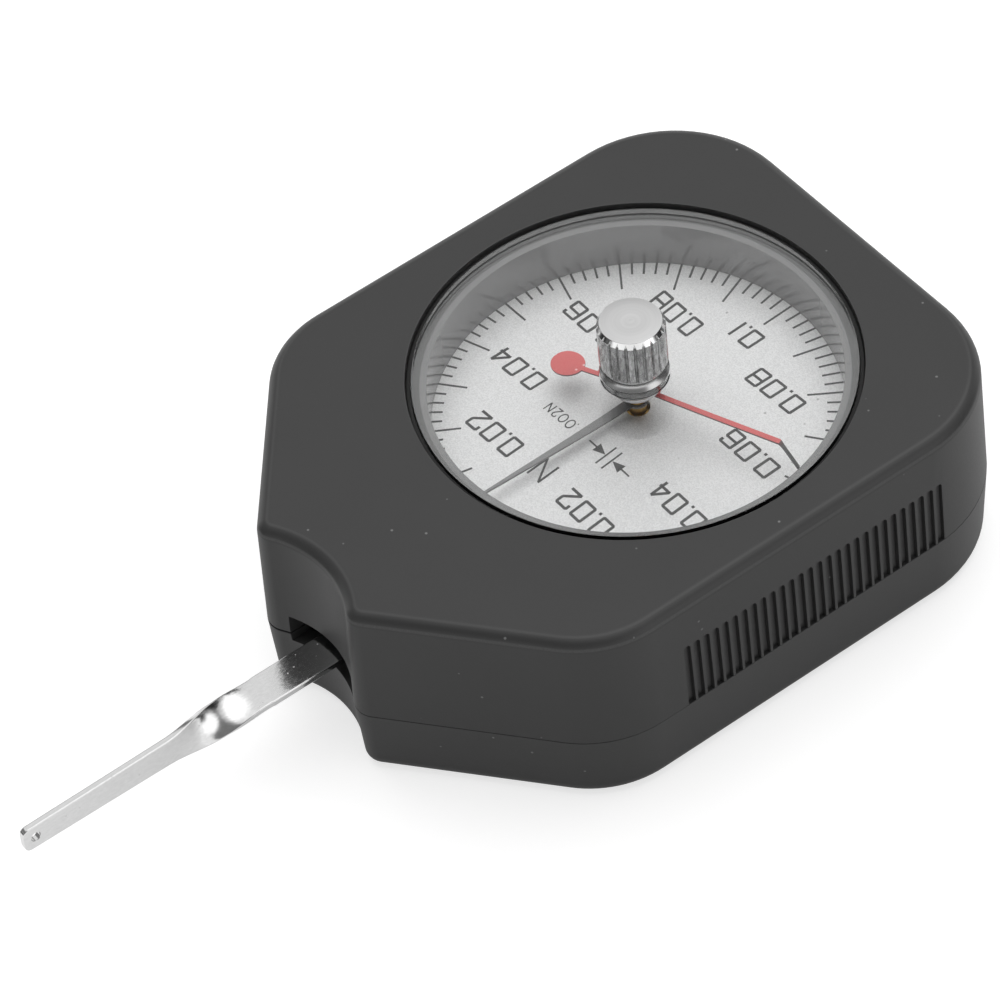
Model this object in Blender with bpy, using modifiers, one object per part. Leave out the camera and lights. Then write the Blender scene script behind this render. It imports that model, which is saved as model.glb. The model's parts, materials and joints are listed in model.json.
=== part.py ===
"""Dial tension gauge: a moulded two-part case with a scooped nose, a twisted steel feeler that
turns a toothed sector and pinion, a reading pointer, and a hold pointer that is reset by a knob.

The frame is in metres. +Z is out of the dial, -Y is towards the feeler's tip, and the origin is
on the dial's axis at the back face of the case.
"""

import math

import bmesh
import bpy
from mathutils import Matrix, Vector

MM = 0.001

# Case, seen from above at its widest line
HALF_WIDTH = 31.0 * MM
REAR_Y = 32.5 * MM
REAR_RADIUS = 15.5 * MM
SHOULDER_Y = -27.7 * MM
SHOULDER_RADIUS = 13.0 * MM
NOSE_Y = -45.3 * MM
NOSE_HALF_WIDTH = 9.55 * MM
LOBE_RADIUS = 2.6 * MM
SMALLEST_LOBE = 0.2 * MM
SCOOP_RADIUS = 13.0 * MM
SCOOP_DEPTH = 1.85 * MM
REAR_STEPS = 8
SHOULDER_STEPS = 5
LOBE_STEPS = 4
SCOOP_STEPS = 4

# Case, seen from the side
CASE_TOP = 25.3 * MM
PART_LINE = 9.45 * MM
SEAM = 0.15 * MM
UPPER_DRAFT = 0.4 * MM
LOWER_DRAFT = 0.45 * MM
TOP_FILLET = 1.6 * MM
BOTTOM_FILLET = 1.9 * MM
FILLET_STEPS = 3
WALL = 2.2 * MM
TOP_THICKNESS = 2.4 * MM
BACK_THICKNESS = 2.2 * MM

# General fits
SEAT_GAP = 0.25 * MM
PRESS_GAP = 0.05 * MM
RUN_GAP = 0.05 * MM
OVERRUN = 1.0 * MM
WELD_DISTANCE = 0.001 * MM
SMOOTH_UNDER = math.radians(35.0)

# Round pieces, in flat sides
LARGE_SIDES = 56
SMALL_SIDES = 16
TINY_SIDES = 12
PLATE_STEPS = 16
CORNER_STEPS = 4
ROUND_END_STEPS = 6

# Finger grips in both side walls
GRIP_GROOVES = 28
GRIP_PITCH = 1.302 * MM
GRIP_GROOVE_WIDTH = 0.92 * MM
GRIP_FLOOR_WIDTH = 0.36 * MM
GRIP_DEPTH = 0.55 * MM
GRIP_TOP = 18.2 * MM
GRIP_RUNOUT = 0.45 * MM

# Slot in the nose for the feeler
SLOT_SIDE_CLEARANCE = 0.553 * MM
SLOT_ABOVE = 2.75 * MM
SLOT_BELOW = 1.25 * MM
SLOT_INNER_Y = -37.0 * MM

# Window, crystal and its seal
WINDOW_RADIUS = 25.4 * MM
CRYSTAL_SIDE_GAP = 0.6 * MM
CRYSTAL_RADIUS = WINDOW_RADIUS - CRYSTAL_SIDE_GAP
CRYSTAL_SKIRT = 2.2 * MM
CRYSTAL_INNER_RADIUS = CRYSTAL_RADIUS - CRYSTAL_SKIRT
CRYSTAL_RECESS = 0.25 * MM
CRYSTAL_THICKNESS = 2.0 * MM
CRYSTAL_EDGE = 0.3 * MM
CRYSTAL_FLANGE = 1.2 * MM
CRYSTAL_FLANGE_RADIUS = WINDOW_RADIUS + CRYSTAL_FLANGE
CRYSTAL_FLANGE_THICKNESS = 1.5 * MM
CRYSTAL_BUSH_RADIUS = 3.85 * MM
SEAL_RECESS = 0.7 * MM
SEAL_CLEARANCE = 0.05 * MM

# Movement plates and dial
PLATE_RADIUS = 20.0 * MM
PLATE_TONGUE_HALF_WIDTH = 8.0 * MM
PLATE_TONGUE_REACH = 11.3 * MM
PLATE_TONGUE_CORNER = 3.0 * MM
PLATE_THICKNESS = 1.2 * MM
BOTTOM_PLATE_Z = 4.8 * MM
DIAL_SINK = 8.1 * MM
DIAL_Z = CASE_TOP - DIAL_SINK
TOP_PLATE_DROP = 2.6 * MM
TOP_PLATE_Z = DIAL_Z - TOP_PLATE_DROP
DIAL_UNDER_CRYSTAL = 2.4 * MM
DIAL_RADIUS = CRYSTAL_INNER_RADIUS + DIAL_UNDER_CRYSTAL
DIAL_THICKNESS = 0.6 * MM
DIAL_HOLE_RADIUS = 1.5 * MM
DIAL_FOOT_RADIUS = 0.8 * MM
DIAL_FOOT_SHOULDER = 1.6 * MM
DIAL_FOOT_REACH = 17.5 * MM
DIAL_FOOT_DEGREES = (0.0, 180.0)
DIAL_FOOT_CLEARANCE = 0.15 * MM

# Pillars, posts and screws
PILLAR_REACH = 16.5 * MM
PILLAR_RADIUS = 1.9 * MM
PILLAR_SPIGOT_RADIUS = 0.9 * MM
PILLAR_DEGREES = (45.0, 135.0, 225.0, 315.0)
POST_REACH = 17.0 * MM
POST_RADIUS = 2.4 * MM
POST_DEGREES = (90.0, 210.0, 330.0)
PLATE_SCREW_SHANK = 0.8 * MM
PLATE_SCREW_HEAD = 1.5 * MM
PLATE_SCREW_HEAD_THICKNESS = 0.5 * MM
PLATE_SCREW_BITE = 3.5 * MM
CASE_SCREW_SHANK = 1.0 * MM
CASE_SCREW_HEAD = 2.1 * MM
CASE_SCREW_HEAD_THICKNESS = 1.3 * MM
CASE_SCREW_LENGTH = 14.0 * MM
CASE_SCREW_SINK = 0.4 * MM
CASE_SCREW_REAR = (21.6 * MM, 23.6 * MM)
CASE_SCREW_FRONT = (22.0 * MM, -25.0 * MM)
UPPER_BOSS_RADIUS = 2.6 * MM
LOWER_BOSS_RADIUS = 3.1 * MM
SCREW_SLOT_WIDTH = 0.4 * MM
SCREW_SLOT_DEPTH_SHARE = 0.45

# Lever: its axis, and the steel feeler
LEVER_AXIS_Y = -28.5 * MM
FEELER_Z = 10.75 * MM
FEELER_THICKNESS = 0.8 * MM
FEELER_BASE_WIDTH = 4.5 * MM
FEELER_TIP_WIDTH = 3.35 * MM
FEELER_TIP_Y = -84.3 * MM
FEELER_TAIL = 3.2 * MM
FEELER_EDGE = 0.12 * MM
TWIST_START_Y = -56.0 * MM
TWIST_END_Y = -67.0 * MM
TWIST_STEPS = 10
FEELER_HOLE_RADIUS = 0.6 * MM
FEELER_HOLE_INSET = 1.5 * MM
FEELER_CORNER = 0.8 * MM

# Lever: its arbor, hub, sector and stops
LEVER_ARBOR_RADIUS = 1.1 * MM
LEVER_PIVOT_RADIUS = 0.55 * MM
HUB_HALF_WIDTH = 3.0 * MM
HUB_TAIL = 3.4 * MM
HUB_REACH = 7.6 * MM
HUB_THICKNESS = 1.9 * MM
CLAMP_SCREW_PLACES = (3.4 * MM, 6.1 * MM)
CLAMP_SCREW_SHANK = 0.5 * MM
CLAMP_SCREW_HEAD = 1.05 * MM
STOP_REACH = 10.0 * MM
STOP_RADIUS = 0.6 * MM
STOP_CLEARANCE = 0.1 * MM
LEVER_TRAVEL = math.radians(10.0)
SLOT_HALF_WIDTH = (FEELER_BASE_WIDTH / 2 / math.cos(LEVER_TRAVEL)
                   + (LEVER_AXIS_Y - NOSE_Y) * math.tan(LEVER_TRAVEL) + SLOT_SIDE_CLEARANCE)
PLATE_TONGUE_END = LEVER_AXIS_Y - PLATE_TONGUE_REACH

# Gears
PINION_TEETH = 10
SECTOR_TEETH_ROUND = 180
GEAR_MODULE = -2 * LEVER_AXIS_Y / (SECTOR_TEETH_ROUND + PINION_TEETH)
SECTOR_TEETH_CUT = 15
PRESSURE_ANGLE = math.radians(20.0)
PINION_ADDENDUM_SHARE = 0.9
SECTOR_ADDENDUM_SHARE = 0.6
PINION_DEDENDUM_SHARE = 0.95
SECTOR_DEDENDUM_SHARE = 1.25
BACKLASH = 0.03 * MM
SECTOR_THICKNESS = 1.2 * MM
SECTOR_RIM = 2.6 * MM
SECTOR_ARM_WIDTH = 2.4 * MM
SECTOR_HUB_RADIUS = 4.0 * MM
SECTOR_HUB_WRAP = math.radians(20.0)
SECTOR_HUB_TAIL_HALF_WIDTH = 2.2 * MM
SECTOR_WINDOW_START = 9.2 * MM
PINION_EXTRA = 0.2 * MM

# Pointer arbor, hairspring and reading pointer
POINTER_ARBOR_RADIUS = 0.6 * MM
POINTER_PIVOT_RADIUS = 0.45 * MM
POINTER_SHOULDER_RADIUS = 1.0 * MM
POINTER_SHOULDER = 0.4 * MM
BUSH_RADIUS = 2.0 * MM
BUSH_STAND = 0.2 * MM
COLLET_RADIUS = 1.7 * MM
HAIRSPRING_Z = 7.6 * MM
HAIRSPRING_HEIGHT = 1.0 * MM
HAIRSPRING_THICKNESS = 0.15 * MM
HAIRSPRING_TURNS = 5
HAIRSPRING_PITCH = 0.85 * MM
HAIRSPRING_POINTS_PER_TURN = 11
HAIRSPRING_START = 2.1 * MM
STUD_RADIUS = 0.6 * MM
POINTER_RISE = 1.15 * MM
POINTER_Z = DIAL_Z + POINTER_RISE
POINTER_THICKNESS = 0.25 * MM
POINTER_TIP_GAP = 1.4 * MM
POINTER_LENGTH = CRYSTAL_INNER_RADIUS - POINTER_TIP_GAP
POINTER_ROOT_WIDTH = 1.3 * MM
POINTER_TIP_WIDTH = 0.25 * MM
POINTER_RING_RADIUS = 1.45 * MM
POINTER_HUB_RADIUS = 1.2 * MM
POINTER_REST = math.radians(-2.4)
ARBOR_RISE = 2.05 * MM
ARBOR_TOP = DIAL_Z + ARBOR_RISE

# Hold pointer, its stem and knob
HOLD_REST = math.radians(112.7)
HOLD_RISE = 3.45 * MM
HOLD_Z = DIAL_Z + HOLD_RISE
HOLD_THICKNESS = 0.25 * MM
HOLD_ARM_WIDTH = 0.75 * MM
HOLD_RING_RADIUS = 1.9 * MM
HOLD_TIP_GAP = 2.2 * MM
HOLD_TIP_REACH = CRYSTAL_INNER_RADIUS - HOLD_TIP_GAP
HOLD_TIP_LENGTH = 2.5 * MM
HOLD_BEND_REACH = HOLD_TIP_REACH - HOLD_TIP_LENGTH
HOLD_TIP_SIDE = -0.9 * MM
HOLD_TIP_WIDTH = 0.45 * MM
HOLD_TIP_CLEARANCE = 0.3 * MM
HOLD_WEIGHT_REACH = 8.9 * MM
HOLD_WEIGHT_RADIUS = 1.9 * MM
STEM_RADIUS = 1.0 * MM
STEM_END_GAP = 0.3 * MM
STEM_BOTTOM = ARBOR_TOP + STEM_END_GAP
HOLD_HUB_RADIUS = 1.4 * MM
HOLD_HUB_LENGTH = 0.7 * MM
NUT_RADIUS = 2.8 * MM
NUT_THICKNESS = 1.0 * MM
WASHER_RADIUS = 3.4 * MM
WASHER_THICKNESS = 0.8 * MM
KNOB_RISE = 7.3 * MM
KNOB_TOP = CASE_TOP + KNOB_RISE
STEM_COVER = 2.4 * MM
STEM_TOP = KNOB_TOP - STEM_COVER
KNOB_COLLAR_RADIUS = 3.9 * MM
KNOB_COLLAR_HEIGHT = 0.6 * MM
KNOB_NECK_RADIUS = 3.5 * MM
KNOB_NECK_RISE = 0.7 * MM
KNURL_RADIUS = 3.8 * MM
KNURL_DEPTH = 0.28 * MM
KNURL_FLUTES = 24
KNURL_LAND_SHARE = 0.62
KNOB_CHAMFER = 0.35 * MM
KNOB_CROWN_RADIUS = 3.45 * MM


# Scene, collections and materials

def clear_scene():
    for item in list(bpy.data.objects):
        bpy.data.objects.remove(item, do_unlink=True)


def new_collection(name):
    collection = bpy.data.collections.new(name)
    bpy.context.scene.collection.children.link(collection)
    return collection


def new_material(name, colour, roughness, metallic=0.0):
    material = bpy.data.materials.new(name)
    material.use_nodes = True
    shader = material.node_tree.nodes["Principled BSDF"]
    shader.inputs["Base Color"].default_value = (*colour, 1.0)
    shader.inputs["Roughness"].default_value = roughness
    shader.inputs["Metallic"].default_value = metallic
    return material


clear_scene()
PARTS = new_collection("dial_tension_gauge")
CUTTERS = new_collection("cutters")

CASE_BLACK = new_material("case_black", (0.075, 0.075, 0.075), 0.55)
CLEAR = new_material("clear", (0.9, 0.92, 0.92), 0.05)
RUBBER = new_material("rubber", (0.012, 0.012, 0.012), 0.7)
DIAL_SILVER = new_material("dial_silver", (0.68, 0.68, 0.67), 0.4, 0.6)
BRASS = new_material("brass", (0.72, 0.46, 0.16), 0.3, 1.0)
STEEL = new_material("steel", (0.62, 0.62, 0.63), 0.25, 1.0)
BRIGHT_STEEL = new_material("bright_steel", (0.78, 0.78, 0.79), 0.12, 1.0)
SCREW_STEEL = new_material("screw_steel", (0.5, 0.5, 0.52), 0.35, 1.0)
POINTER_GREY = new_material("pointer_grey", (0.09, 0.09, 0.09), 0.4)
HOLD_RED = new_material("hold_red", (0.6, 0.08, 0.08), 0.4)
SPRING_STEEL = new_material("spring_steel", (0.35, 0.38, 0.45), 0.3, 1.0)


# Object helpers

def add_object(name, mesh, collection, material=None, parent=None, place=(0.0, 0.0, 0.0)):
    made = bpy.data.objects.new(name, mesh)
    collection.objects.link(made)
    made.location = place
    made.parent = parent
    if material:
        mesh.materials.append(material)
    if collection is CUTTERS:
        made.hide_render = True
        made.display_type = "WIRE"
    return made


def finish(made):
    """Applies a piece's modifiers and shades it smooth between its real edges."""
    graph = bpy.context.evaluated_depsgraph_get()
    mesh = bpy.data.meshes.new_from_object(made.evaluated_get(graph))
    mesh.name = made.name
    made.modifiers.clear()
    made.data = mesh
    mesh.shade_smooth()
    mesh.set_sharp_from_angle(angle=SMOOTH_UNDER)


def circle(radius, sides, centre=(0.0, 0.0), turn=0.0):
    """Points round a circle, anticlockwise."""
    step = math.tau / sides
    return [
        (centre[0] + radius * math.cos(turn + k * step), centre[1] + radius * math.sin(turn + k * step))
        for k in range(sides)
    ]


def arc(centre, radius, start, end, steps):
    """Points along an arc, both ends included."""
    angles = [start + (end - start) * k / steps for k in range(steps + 1)]
    return [(centre[0] + radius * math.cos(a), centre[1] + radius * math.sin(a)) for a in angles]


def at_height(points, z):
    return [(x, y, z) for x, y in points]


def join_loft(bm, rings):
    """Adds a closed skin over rings that have the same number of points."""
    loops = [[bm.verts.new(point) for point in ring] for ring in rings]
    count = len(loops[0])
    for low, high in zip(loops, loops[1:]):
        for k in range(count):
            after = (k + 1) % count
            bm.faces.new((low[k], low[after], high[after], high[k]))
    bm.faces.new(list(reversed(loops[0])))
    bm.faces.new(loops[-1])


def loft(name, groups, collection, material=None, parent=None, place=(0.0, 0.0, 0.0)):
    """One object from one or more lofts, each a list of rings."""
    bm = bmesh.new()
    for rings in groups:
        join_loft(bm, rings)
    bmesh.ops.recalc_face_normals(bm, faces=bm.faces)
    mesh = bpy.data.meshes.new(name)
    bm.to_mesh(mesh)
    bm.free()
    return add_object(name, mesh, collection, material, parent, place)


def turned(name, profile, sides, collection, material=None, parent=None, place=(0.0, 0.0, 0.0),
           ring=False):
    """A solid of revolution. The profile is (radius, height) pairs, from the top down its outer
    side; a ring's profile comes back up its bore and closes."""
    mesh = bpy.data.meshes.new(name)
    points = [(radius, 0.0, z) for radius, z in profile]
    edges = [(k, k + 1) for k in range(len(points) - 1)]
    if ring:
        edges.append((len(points) - 1, 0))
    mesh.from_pydata(points, edges, [])
    made = add_object(name, mesh, collection, material, parent, place)
    screw = made.modifiers.new("turn", "SCREW")
    screw.steps = sides
    screw.render_steps = sides
    screw.use_merge_vertices = True
    screw.merge_threshold = WELD_DISTANCE
    return made


def tube(name, radius, bore, low, high, sides, collection, material=None, parent=None,
         place=(0.0, 0.0, 0.0)):
    profile = [(bore, high), (radius, high), (radius, low), (bore, low)]
    return turned(name, profile, sides, collection, material, parent, place, ring=True)


def rod(name, radius, low, high, sides, collection, material=None, parent=None,
        place=(0.0, 0.0, 0.0)):
    """A plain cylinder between two heights."""
    bm = bmesh.new()
    bmesh.ops.create_cone(bm, cap_ends=True, segments=sides, radius1=radius, radius2=radius,
                          depth=high - low)
    bmesh.ops.translate(bm, verts=bm.verts, vec=(0.0, 0.0, (low + high) / 2))
    mesh = bpy.data.meshes.new(name)
    bm.to_mesh(mesh)
    bm.free()
    return add_object(name, mesh, collection, material, parent, place)


def flat_piece(name, outlines, low, high, collection, material=None, parent=None,
               place=(0.0, 0.0, 0.0)):
    """A plate between two heights. The first outline is its edge and the others are holes."""
    curve = bpy.data.curves.new(name, "CURVE")
    curve.dimensions = "2D"
    curve.fill_mode = "BOTH"
    curve.extrude = (high - low) / 2
    for outline in outlines:
        spline = curve.splines.new("POLY")
        spline.points.add(len(outline) - 1)
        for point, (x, y) in zip(spline.points, outline):
            point.co = (x, y, 0.0, 1.0)
        spline.use_cyclic_u = True
    guide = bpy.data.objects.new(name + "_guide", curve)
    CUTTERS.objects.link(guide)
    bpy.context.view_layer.update()
    graph = bpy.context.evaluated_depsgraph_get()
    mesh = bpy.data.meshes.new_from_object(guide.evaluated_get(graph))
    mesh.name = name
    bpy.data.objects.remove(guide, do_unlink=True)
    bpy.data.curves.remove(curve)
    bm = bmesh.new()
    bm.from_mesh(mesh)
    bmesh.ops.remove_doubles(bm, verts=bm.verts, dist=WELD_DISTANCE)
    bmesh.ops.recalc_face_normals(bm, faces=bm.faces)
    bmesh.ops.translate(bm, verts=bm.verts, vec=(0.0, 0.0, (low + high) / 2))
    bm.to_mesh(mesh)
    bm.free()
    mesh.materials.clear()
    return add_object(name, mesh, collection, material, parent, place)


def box(name, low, high, collection, material=None, parent=None, place=(0.0, 0.0, 0.0)):
    bm = bmesh.new()
    bmesh.ops.create_cube(bm, size=1.0)
    size = Vector(high) - Vector(low)
    middle = (Vector(high) + Vector(low)) / 2
    bmesh.ops.scale(bm, verts=bm.verts, vec=size)
    bmesh.ops.translate(bm, verts=bm.verts, vec=middle)
    mesh = bpy.data.meshes.new(name)
    bm.to_mesh(mesh)
    bm.free()
    return add_object(name, mesh, collection, material, parent, place)


def combine(made, other, operation):
    modifier = made.modifiers.new(other.name, "BOOLEAN")
    modifier.operation = operation
    modifier.solver = "EXACT"
    modifier.object = other


def cut(made, *others):
    for other in others:
        combine(made, other, "DIFFERENCE")


def fuse(made, *others):
    for other in others:
        combine(made, other, "UNION")


def joint_empty(name, place):
    empty = bpy.data.objects.new(name, None)
    empty.location = place
    PARTS.objects.link(empty)
    return empty


# Plan of the case

FLANK_RUN = (Vector((HALF_WIDTH, SHOULDER_Y)) - Vector((NOSE_HALF_WIDTH, NOSE_Y))).normalized()
FLANK_NORMAL = Vector((FLANK_RUN.y, -FLANK_RUN.x))
FLANK_OFFSET = FLANK_NORMAL.dot(Vector((NOSE_HALF_WIDTH, NOSE_Y)))
SCOOP_CENTRE = Vector((0.0, NOSE_Y + SCOOP_DEPTH - SCOOP_RADIUS))
REAR_CENTRE = (HALF_WIDTH - REAR_RADIUS, REAR_Y - REAR_RADIUS)


def shoulder_centre():
    """Centre of the round that touches the side wall and the flank."""
    x = HALF_WIDTH - SHOULDER_RADIUS
    y = (FLANK_OFFSET - SHOULDER_RADIUS - FLANK_NORMAL.x * x) / FLANK_NORMAL.y
    return (x, y)


def case_outline(inset):
    """The case's plan, drawn in from its widest line by an inset, anticlockwise."""
    flank_angle = math.atan2(FLANK_NORMAL.y, FLANK_NORMAL.x)
    lobe = max(LOBE_RADIUS - inset, SMALLEST_LOBE)
    scoop = SCOOP_RADIUS + inset
    along = FLANK_OFFSET - inset - lobe - FLANK_NORMAL.dot(SCOOP_CENTRE)
    across = math.sqrt((scoop + lobe) ** 2 - along ** 2)
    centre = SCOOP_CENTRE + FLANK_NORMAL * along + FLANK_RUN * across
    to_lobe = centre - SCOOP_CENTRE
    lobe_angle = math.atan2(to_lobe.y, to_lobe.x)
    right = arc(SCOOP_CENTRE, scoop, math.pi / 2, lobe_angle, SCOOP_STEPS)[:-1]
    right += arc(centre, lobe, lobe_angle - math.pi, flank_angle, LOBE_STEPS)
    right += arc(shoulder_centre(), SHOULDER_RADIUS - inset, flank_angle, 0.0, SHOULDER_STEPS)
    right += arc(REAR_CENTRE, REAR_RADIUS - inset, 0.0, math.pi / 2, REAR_STEPS)
    left = [(-x, y) for x, y in reversed(right[1:])]
    return right + left


def fillet_rings(edge, direction, draft, radius):
    """Rings of a rounded edge that ends at a height, with the insets that they have."""
    rings = []
    for k in range(FILLET_STEPS + 1):
        angle = math.pi / 2 * k / FILLET_STEPS
        inset = draft + radius * (1 - math.cos(angle))
        z = edge - direction * radius * (1 - math.sin(angle))
        rings.append(at_height(case_outline(inset), z))
    return rings


# Case shells

def screw_places():
    for x, y in (CASE_SCREW_REAR, CASE_SCREW_FRONT):
        yield (x, y)
        yield (-x, y)


def grip_groove(side, y):
    """Rings of one groove's cutter, open at the part line and running out at its top."""
    def ring(z, depth, floor):
        wall = side * HALF_WIDTH
        out = side * OVERRUN
        half = GRIP_GROOVE_WIDTH / 2
        return [
            (wall + out, y - half, z),
            (wall, y - half, z),
            (wall - side * depth, y - floor, z),
            (wall - side * depth, y + floor, z),
            (wall, y + half, z),
            (wall + out, y + half, z),
        ]
    draft = UPPER_DRAFT * (GRIP_TOP - PART_LINE) / (CASE_TOP - PART_LINE)
    floor = GRIP_FLOOR_WIDTH / 2
    return [
        ring(PART_LINE - OVERRUN, GRIP_DEPTH, floor),
        ring(GRIP_TOP, GRIP_DEPTH + draft, floor),
        ring(GRIP_TOP + GRIP_RUNOUT, draft / 2, floor),
    ]


def make_upper_case():
    low = PART_LINE + SEAM / 2
    under = CASE_TOP - TOP_THICKNESS
    rings = [at_height(case_outline(0.0), low)]
    rings += fillet_rings(CASE_TOP, 1, UPPER_DRAFT, TOP_FILLET)
    case = loft("upper_case", [rings], PARTS, CASE_BLACK)
    hollow = loft("upper_hollow", [[
        at_height(case_outline(WALL), low - OVERRUN),
        at_height(case_outline(WALL + UPPER_DRAFT), under),
    ]], CUTTERS)
    cut(case, hollow)
    for number, (x, y) in enumerate(screw_places(), 1):
        boss = rod(f"upper_boss_{number}", UPPER_BOSS_RADIUS, low + SEAT_GAP, under + OVERRUN,
                   TINY_SIDES, CUTTERS, place=(x, y, 0.0))
        fuse(case, boss)
    for number, (x, y) in enumerate(screw_places(), 1):
        top = CASE_SCREW_SINK + CASE_SCREW_HEAD_THICKNESS + CASE_SCREW_LENGTH + SEAT_GAP
        pilot = rod(f"upper_pilot_{number}", CASE_SCREW_SHANK + PRESS_GAP, low - OVERRUN, top,
                    TINY_SIDES, CUTTERS, place=(x, y, 0.0))
        cut(case, pilot)
    window = rod("window", WINDOW_RADIUS, under - OVERRUN, CASE_TOP + OVERRUN, LARGE_SIDES, CUTTERS)
    slot = box("upper_slot", (-SLOT_HALF_WIDTH, NOSE_Y - OVERRUN, low - OVERRUN),
               (SLOT_HALF_WIDTH, SLOT_INNER_Y, PART_LINE + SLOT_ABOVE), CUTTERS)
    first = -GRIP_PITCH * (GRIP_GROOVES - 1) / 2
    grooves = [grip_groove(side, first + k * GRIP_PITCH) for side in (1, -1) for k in range(GRIP_GROOVES)]
    cut(case, window, slot, loft("grip_grooves", grooves, CUTTERS))
    return case


def make_lower_case():
    high = PART_LINE - SEAM / 2
    rings = [at_height(case_outline(0.0), high)]
    rings += fillet_rings(0.0, -1, LOWER_DRAFT, BOTTOM_FILLET)
    case = loft("lower_case", [rings], PARTS, CASE_BLACK)
    hollow = loft("lower_hollow", [[
        at_height(case_outline(WALL + LOWER_DRAFT), BACK_THICKNESS),
        at_height(case_outline(WALL), high + OVERRUN),
    ]], CUTTERS)
    cut(case, hollow)
    post_top = BOTTOM_PLATE_Z - SEAT_GAP
    for number, (x, y) in enumerate(post_places(), 1):
        post = rod(f"post_{number}", POST_RADIUS, BACK_THICKNESS - OVERRUN, post_top,
                   TINY_SIDES, CUTTERS, place=(x, y, 0.0))
        fuse(case, post)
    for number, (x, y) in enumerate(screw_places(), 1):
        boss = rod(f"lower_boss_{number}", LOWER_BOSS_RADIUS, BACK_THICKNESS - OVERRUN, high,
                   TINY_SIDES, CUTTERS, place=(x, y, 0.0))
        fuse(case, boss)
    for number, (x, y) in enumerate(post_places(), 1):
        bore = rod(f"post_bore_{number}", PLATE_SCREW_SHANK + PRESS_GAP, BACK_THICKNESS,
                   post_top + OVERRUN, TINY_SIDES, CUTTERS, place=(x, y, 0.0))
        cut(case, bore)
    seat = CASE_SCREW_SINK + CASE_SCREW_HEAD_THICKNESS + SEAT_GAP
    for number, (x, y) in enumerate(screw_places(), 1):
        well = turned(f"screw_well_{number}", [
            (0.0, high + OVERRUN),
            (CASE_SCREW_SHANK + SEAT_GAP, high + OVERRUN),
            (CASE_SCREW_SHANK + SEAT_GAP, seat),
            (CASE_SCREW_HEAD + SEAT_GAP, seat),
            (CASE_SCREW_HEAD + SEAT_GAP, -OVERRUN),
            (0.0, -OVERRUN),
        ], SMALL_SIDES, CUTTERS, place=(x, y, 0.0))
        cut(case, well)
    slot = box("lower_slot", (-SLOT_HALF_WIDTH, NOSE_Y - OVERRUN, PART_LINE - SLOT_BELOW),
               (SLOT_HALF_WIDTH, SLOT_INNER_Y, high + OVERRUN), CUTTERS)
    cut(case, slot)
    return case


def make_crystal():
    top = CASE_TOP - CRYSTAL_RECESS
    under = top - CRYSTAL_THICKNESS
    flange_top = CASE_TOP - TOP_THICKNESS - SEAT_GAP
    flange_low = flange_top - CRYSTAL_FLANGE_THICKNESS
    foot = DIAL_Z + SEAT_GAP
    hole = CRYSTAL_BUSH_RADIUS + PRESS_GAP
    turned("crystal", [
        (hole, top),
        (CRYSTAL_RADIUS - CRYSTAL_EDGE, top),
        (CRYSTAL_RADIUS, top - CRYSTAL_EDGE),
        (CRYSTAL_RADIUS, flange_top),
        (CRYSTAL_FLANGE_RADIUS, flange_top),
        (CRYSTAL_FLANGE_RADIUS, flange_low),
        (CRYSTAL_RADIUS, flange_low),
        (CRYSTAL_RADIUS, foot),
        (CRYSTAL_INNER_RADIUS, foot),
        (CRYSTAL_INNER_RADIUS, under),
        (hole, under),
    ], LARGE_SIDES, PARTS, CLEAR, ring=True)
    tube("crystal_bush", CRYSTAL_BUSH_RADIUS, STEM_RADIUS + RUN_GAP, under, top, SMALL_SIDES, PARTS,
         STEEL)
    tube("crystal_seal", WINDOW_RADIUS - SEAL_CLEARANCE, CRYSTAL_RADIUS + SEAL_CLEARANCE,
         flange_top + SEAL_CLEARANCE, CASE_TOP - SEAL_RECESS, LARGE_SIDES, PARTS, RUBBER)


# Movement plates, dial and the pieces that hold them

def round_places(reach, degrees):
    return [(reach * math.cos(math.radians(a)), reach * math.sin(math.radians(a))) for a in degrees]


def post_places():
    return round_places(POST_REACH, POST_DEGREES)


def pillar_places():
    return round_places(PILLAR_REACH, PILLAR_DEGREES)


def dial_foot_places():
    return round_places(DIAL_FOOT_REACH, DIAL_FOOT_DEGREES)


def plate_outline():
    """A round plate with a tongue that carries the lever's axis."""
    half = PLATE_TONGUE_HALF_WIDTH
    join = math.asin(half / PLATE_RADIUS)
    corner = PLATE_TONGUE_CORNER
    low = PLATE_TONGUE_END + corner
    outline = arc((0.0, 0.0), PLATE_RADIUS, -math.pi / 2 + join, math.pi * 3 / 2 - join, PLATE_STEPS)
    outline += arc((-half + corner, low), corner, math.pi, math.pi * 3 / 2, CORNER_STEPS)
    outline += arc((half - corner, low), corner, math.pi * 3 / 2, math.tau, CORNER_STEPS)
    return outline


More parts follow.
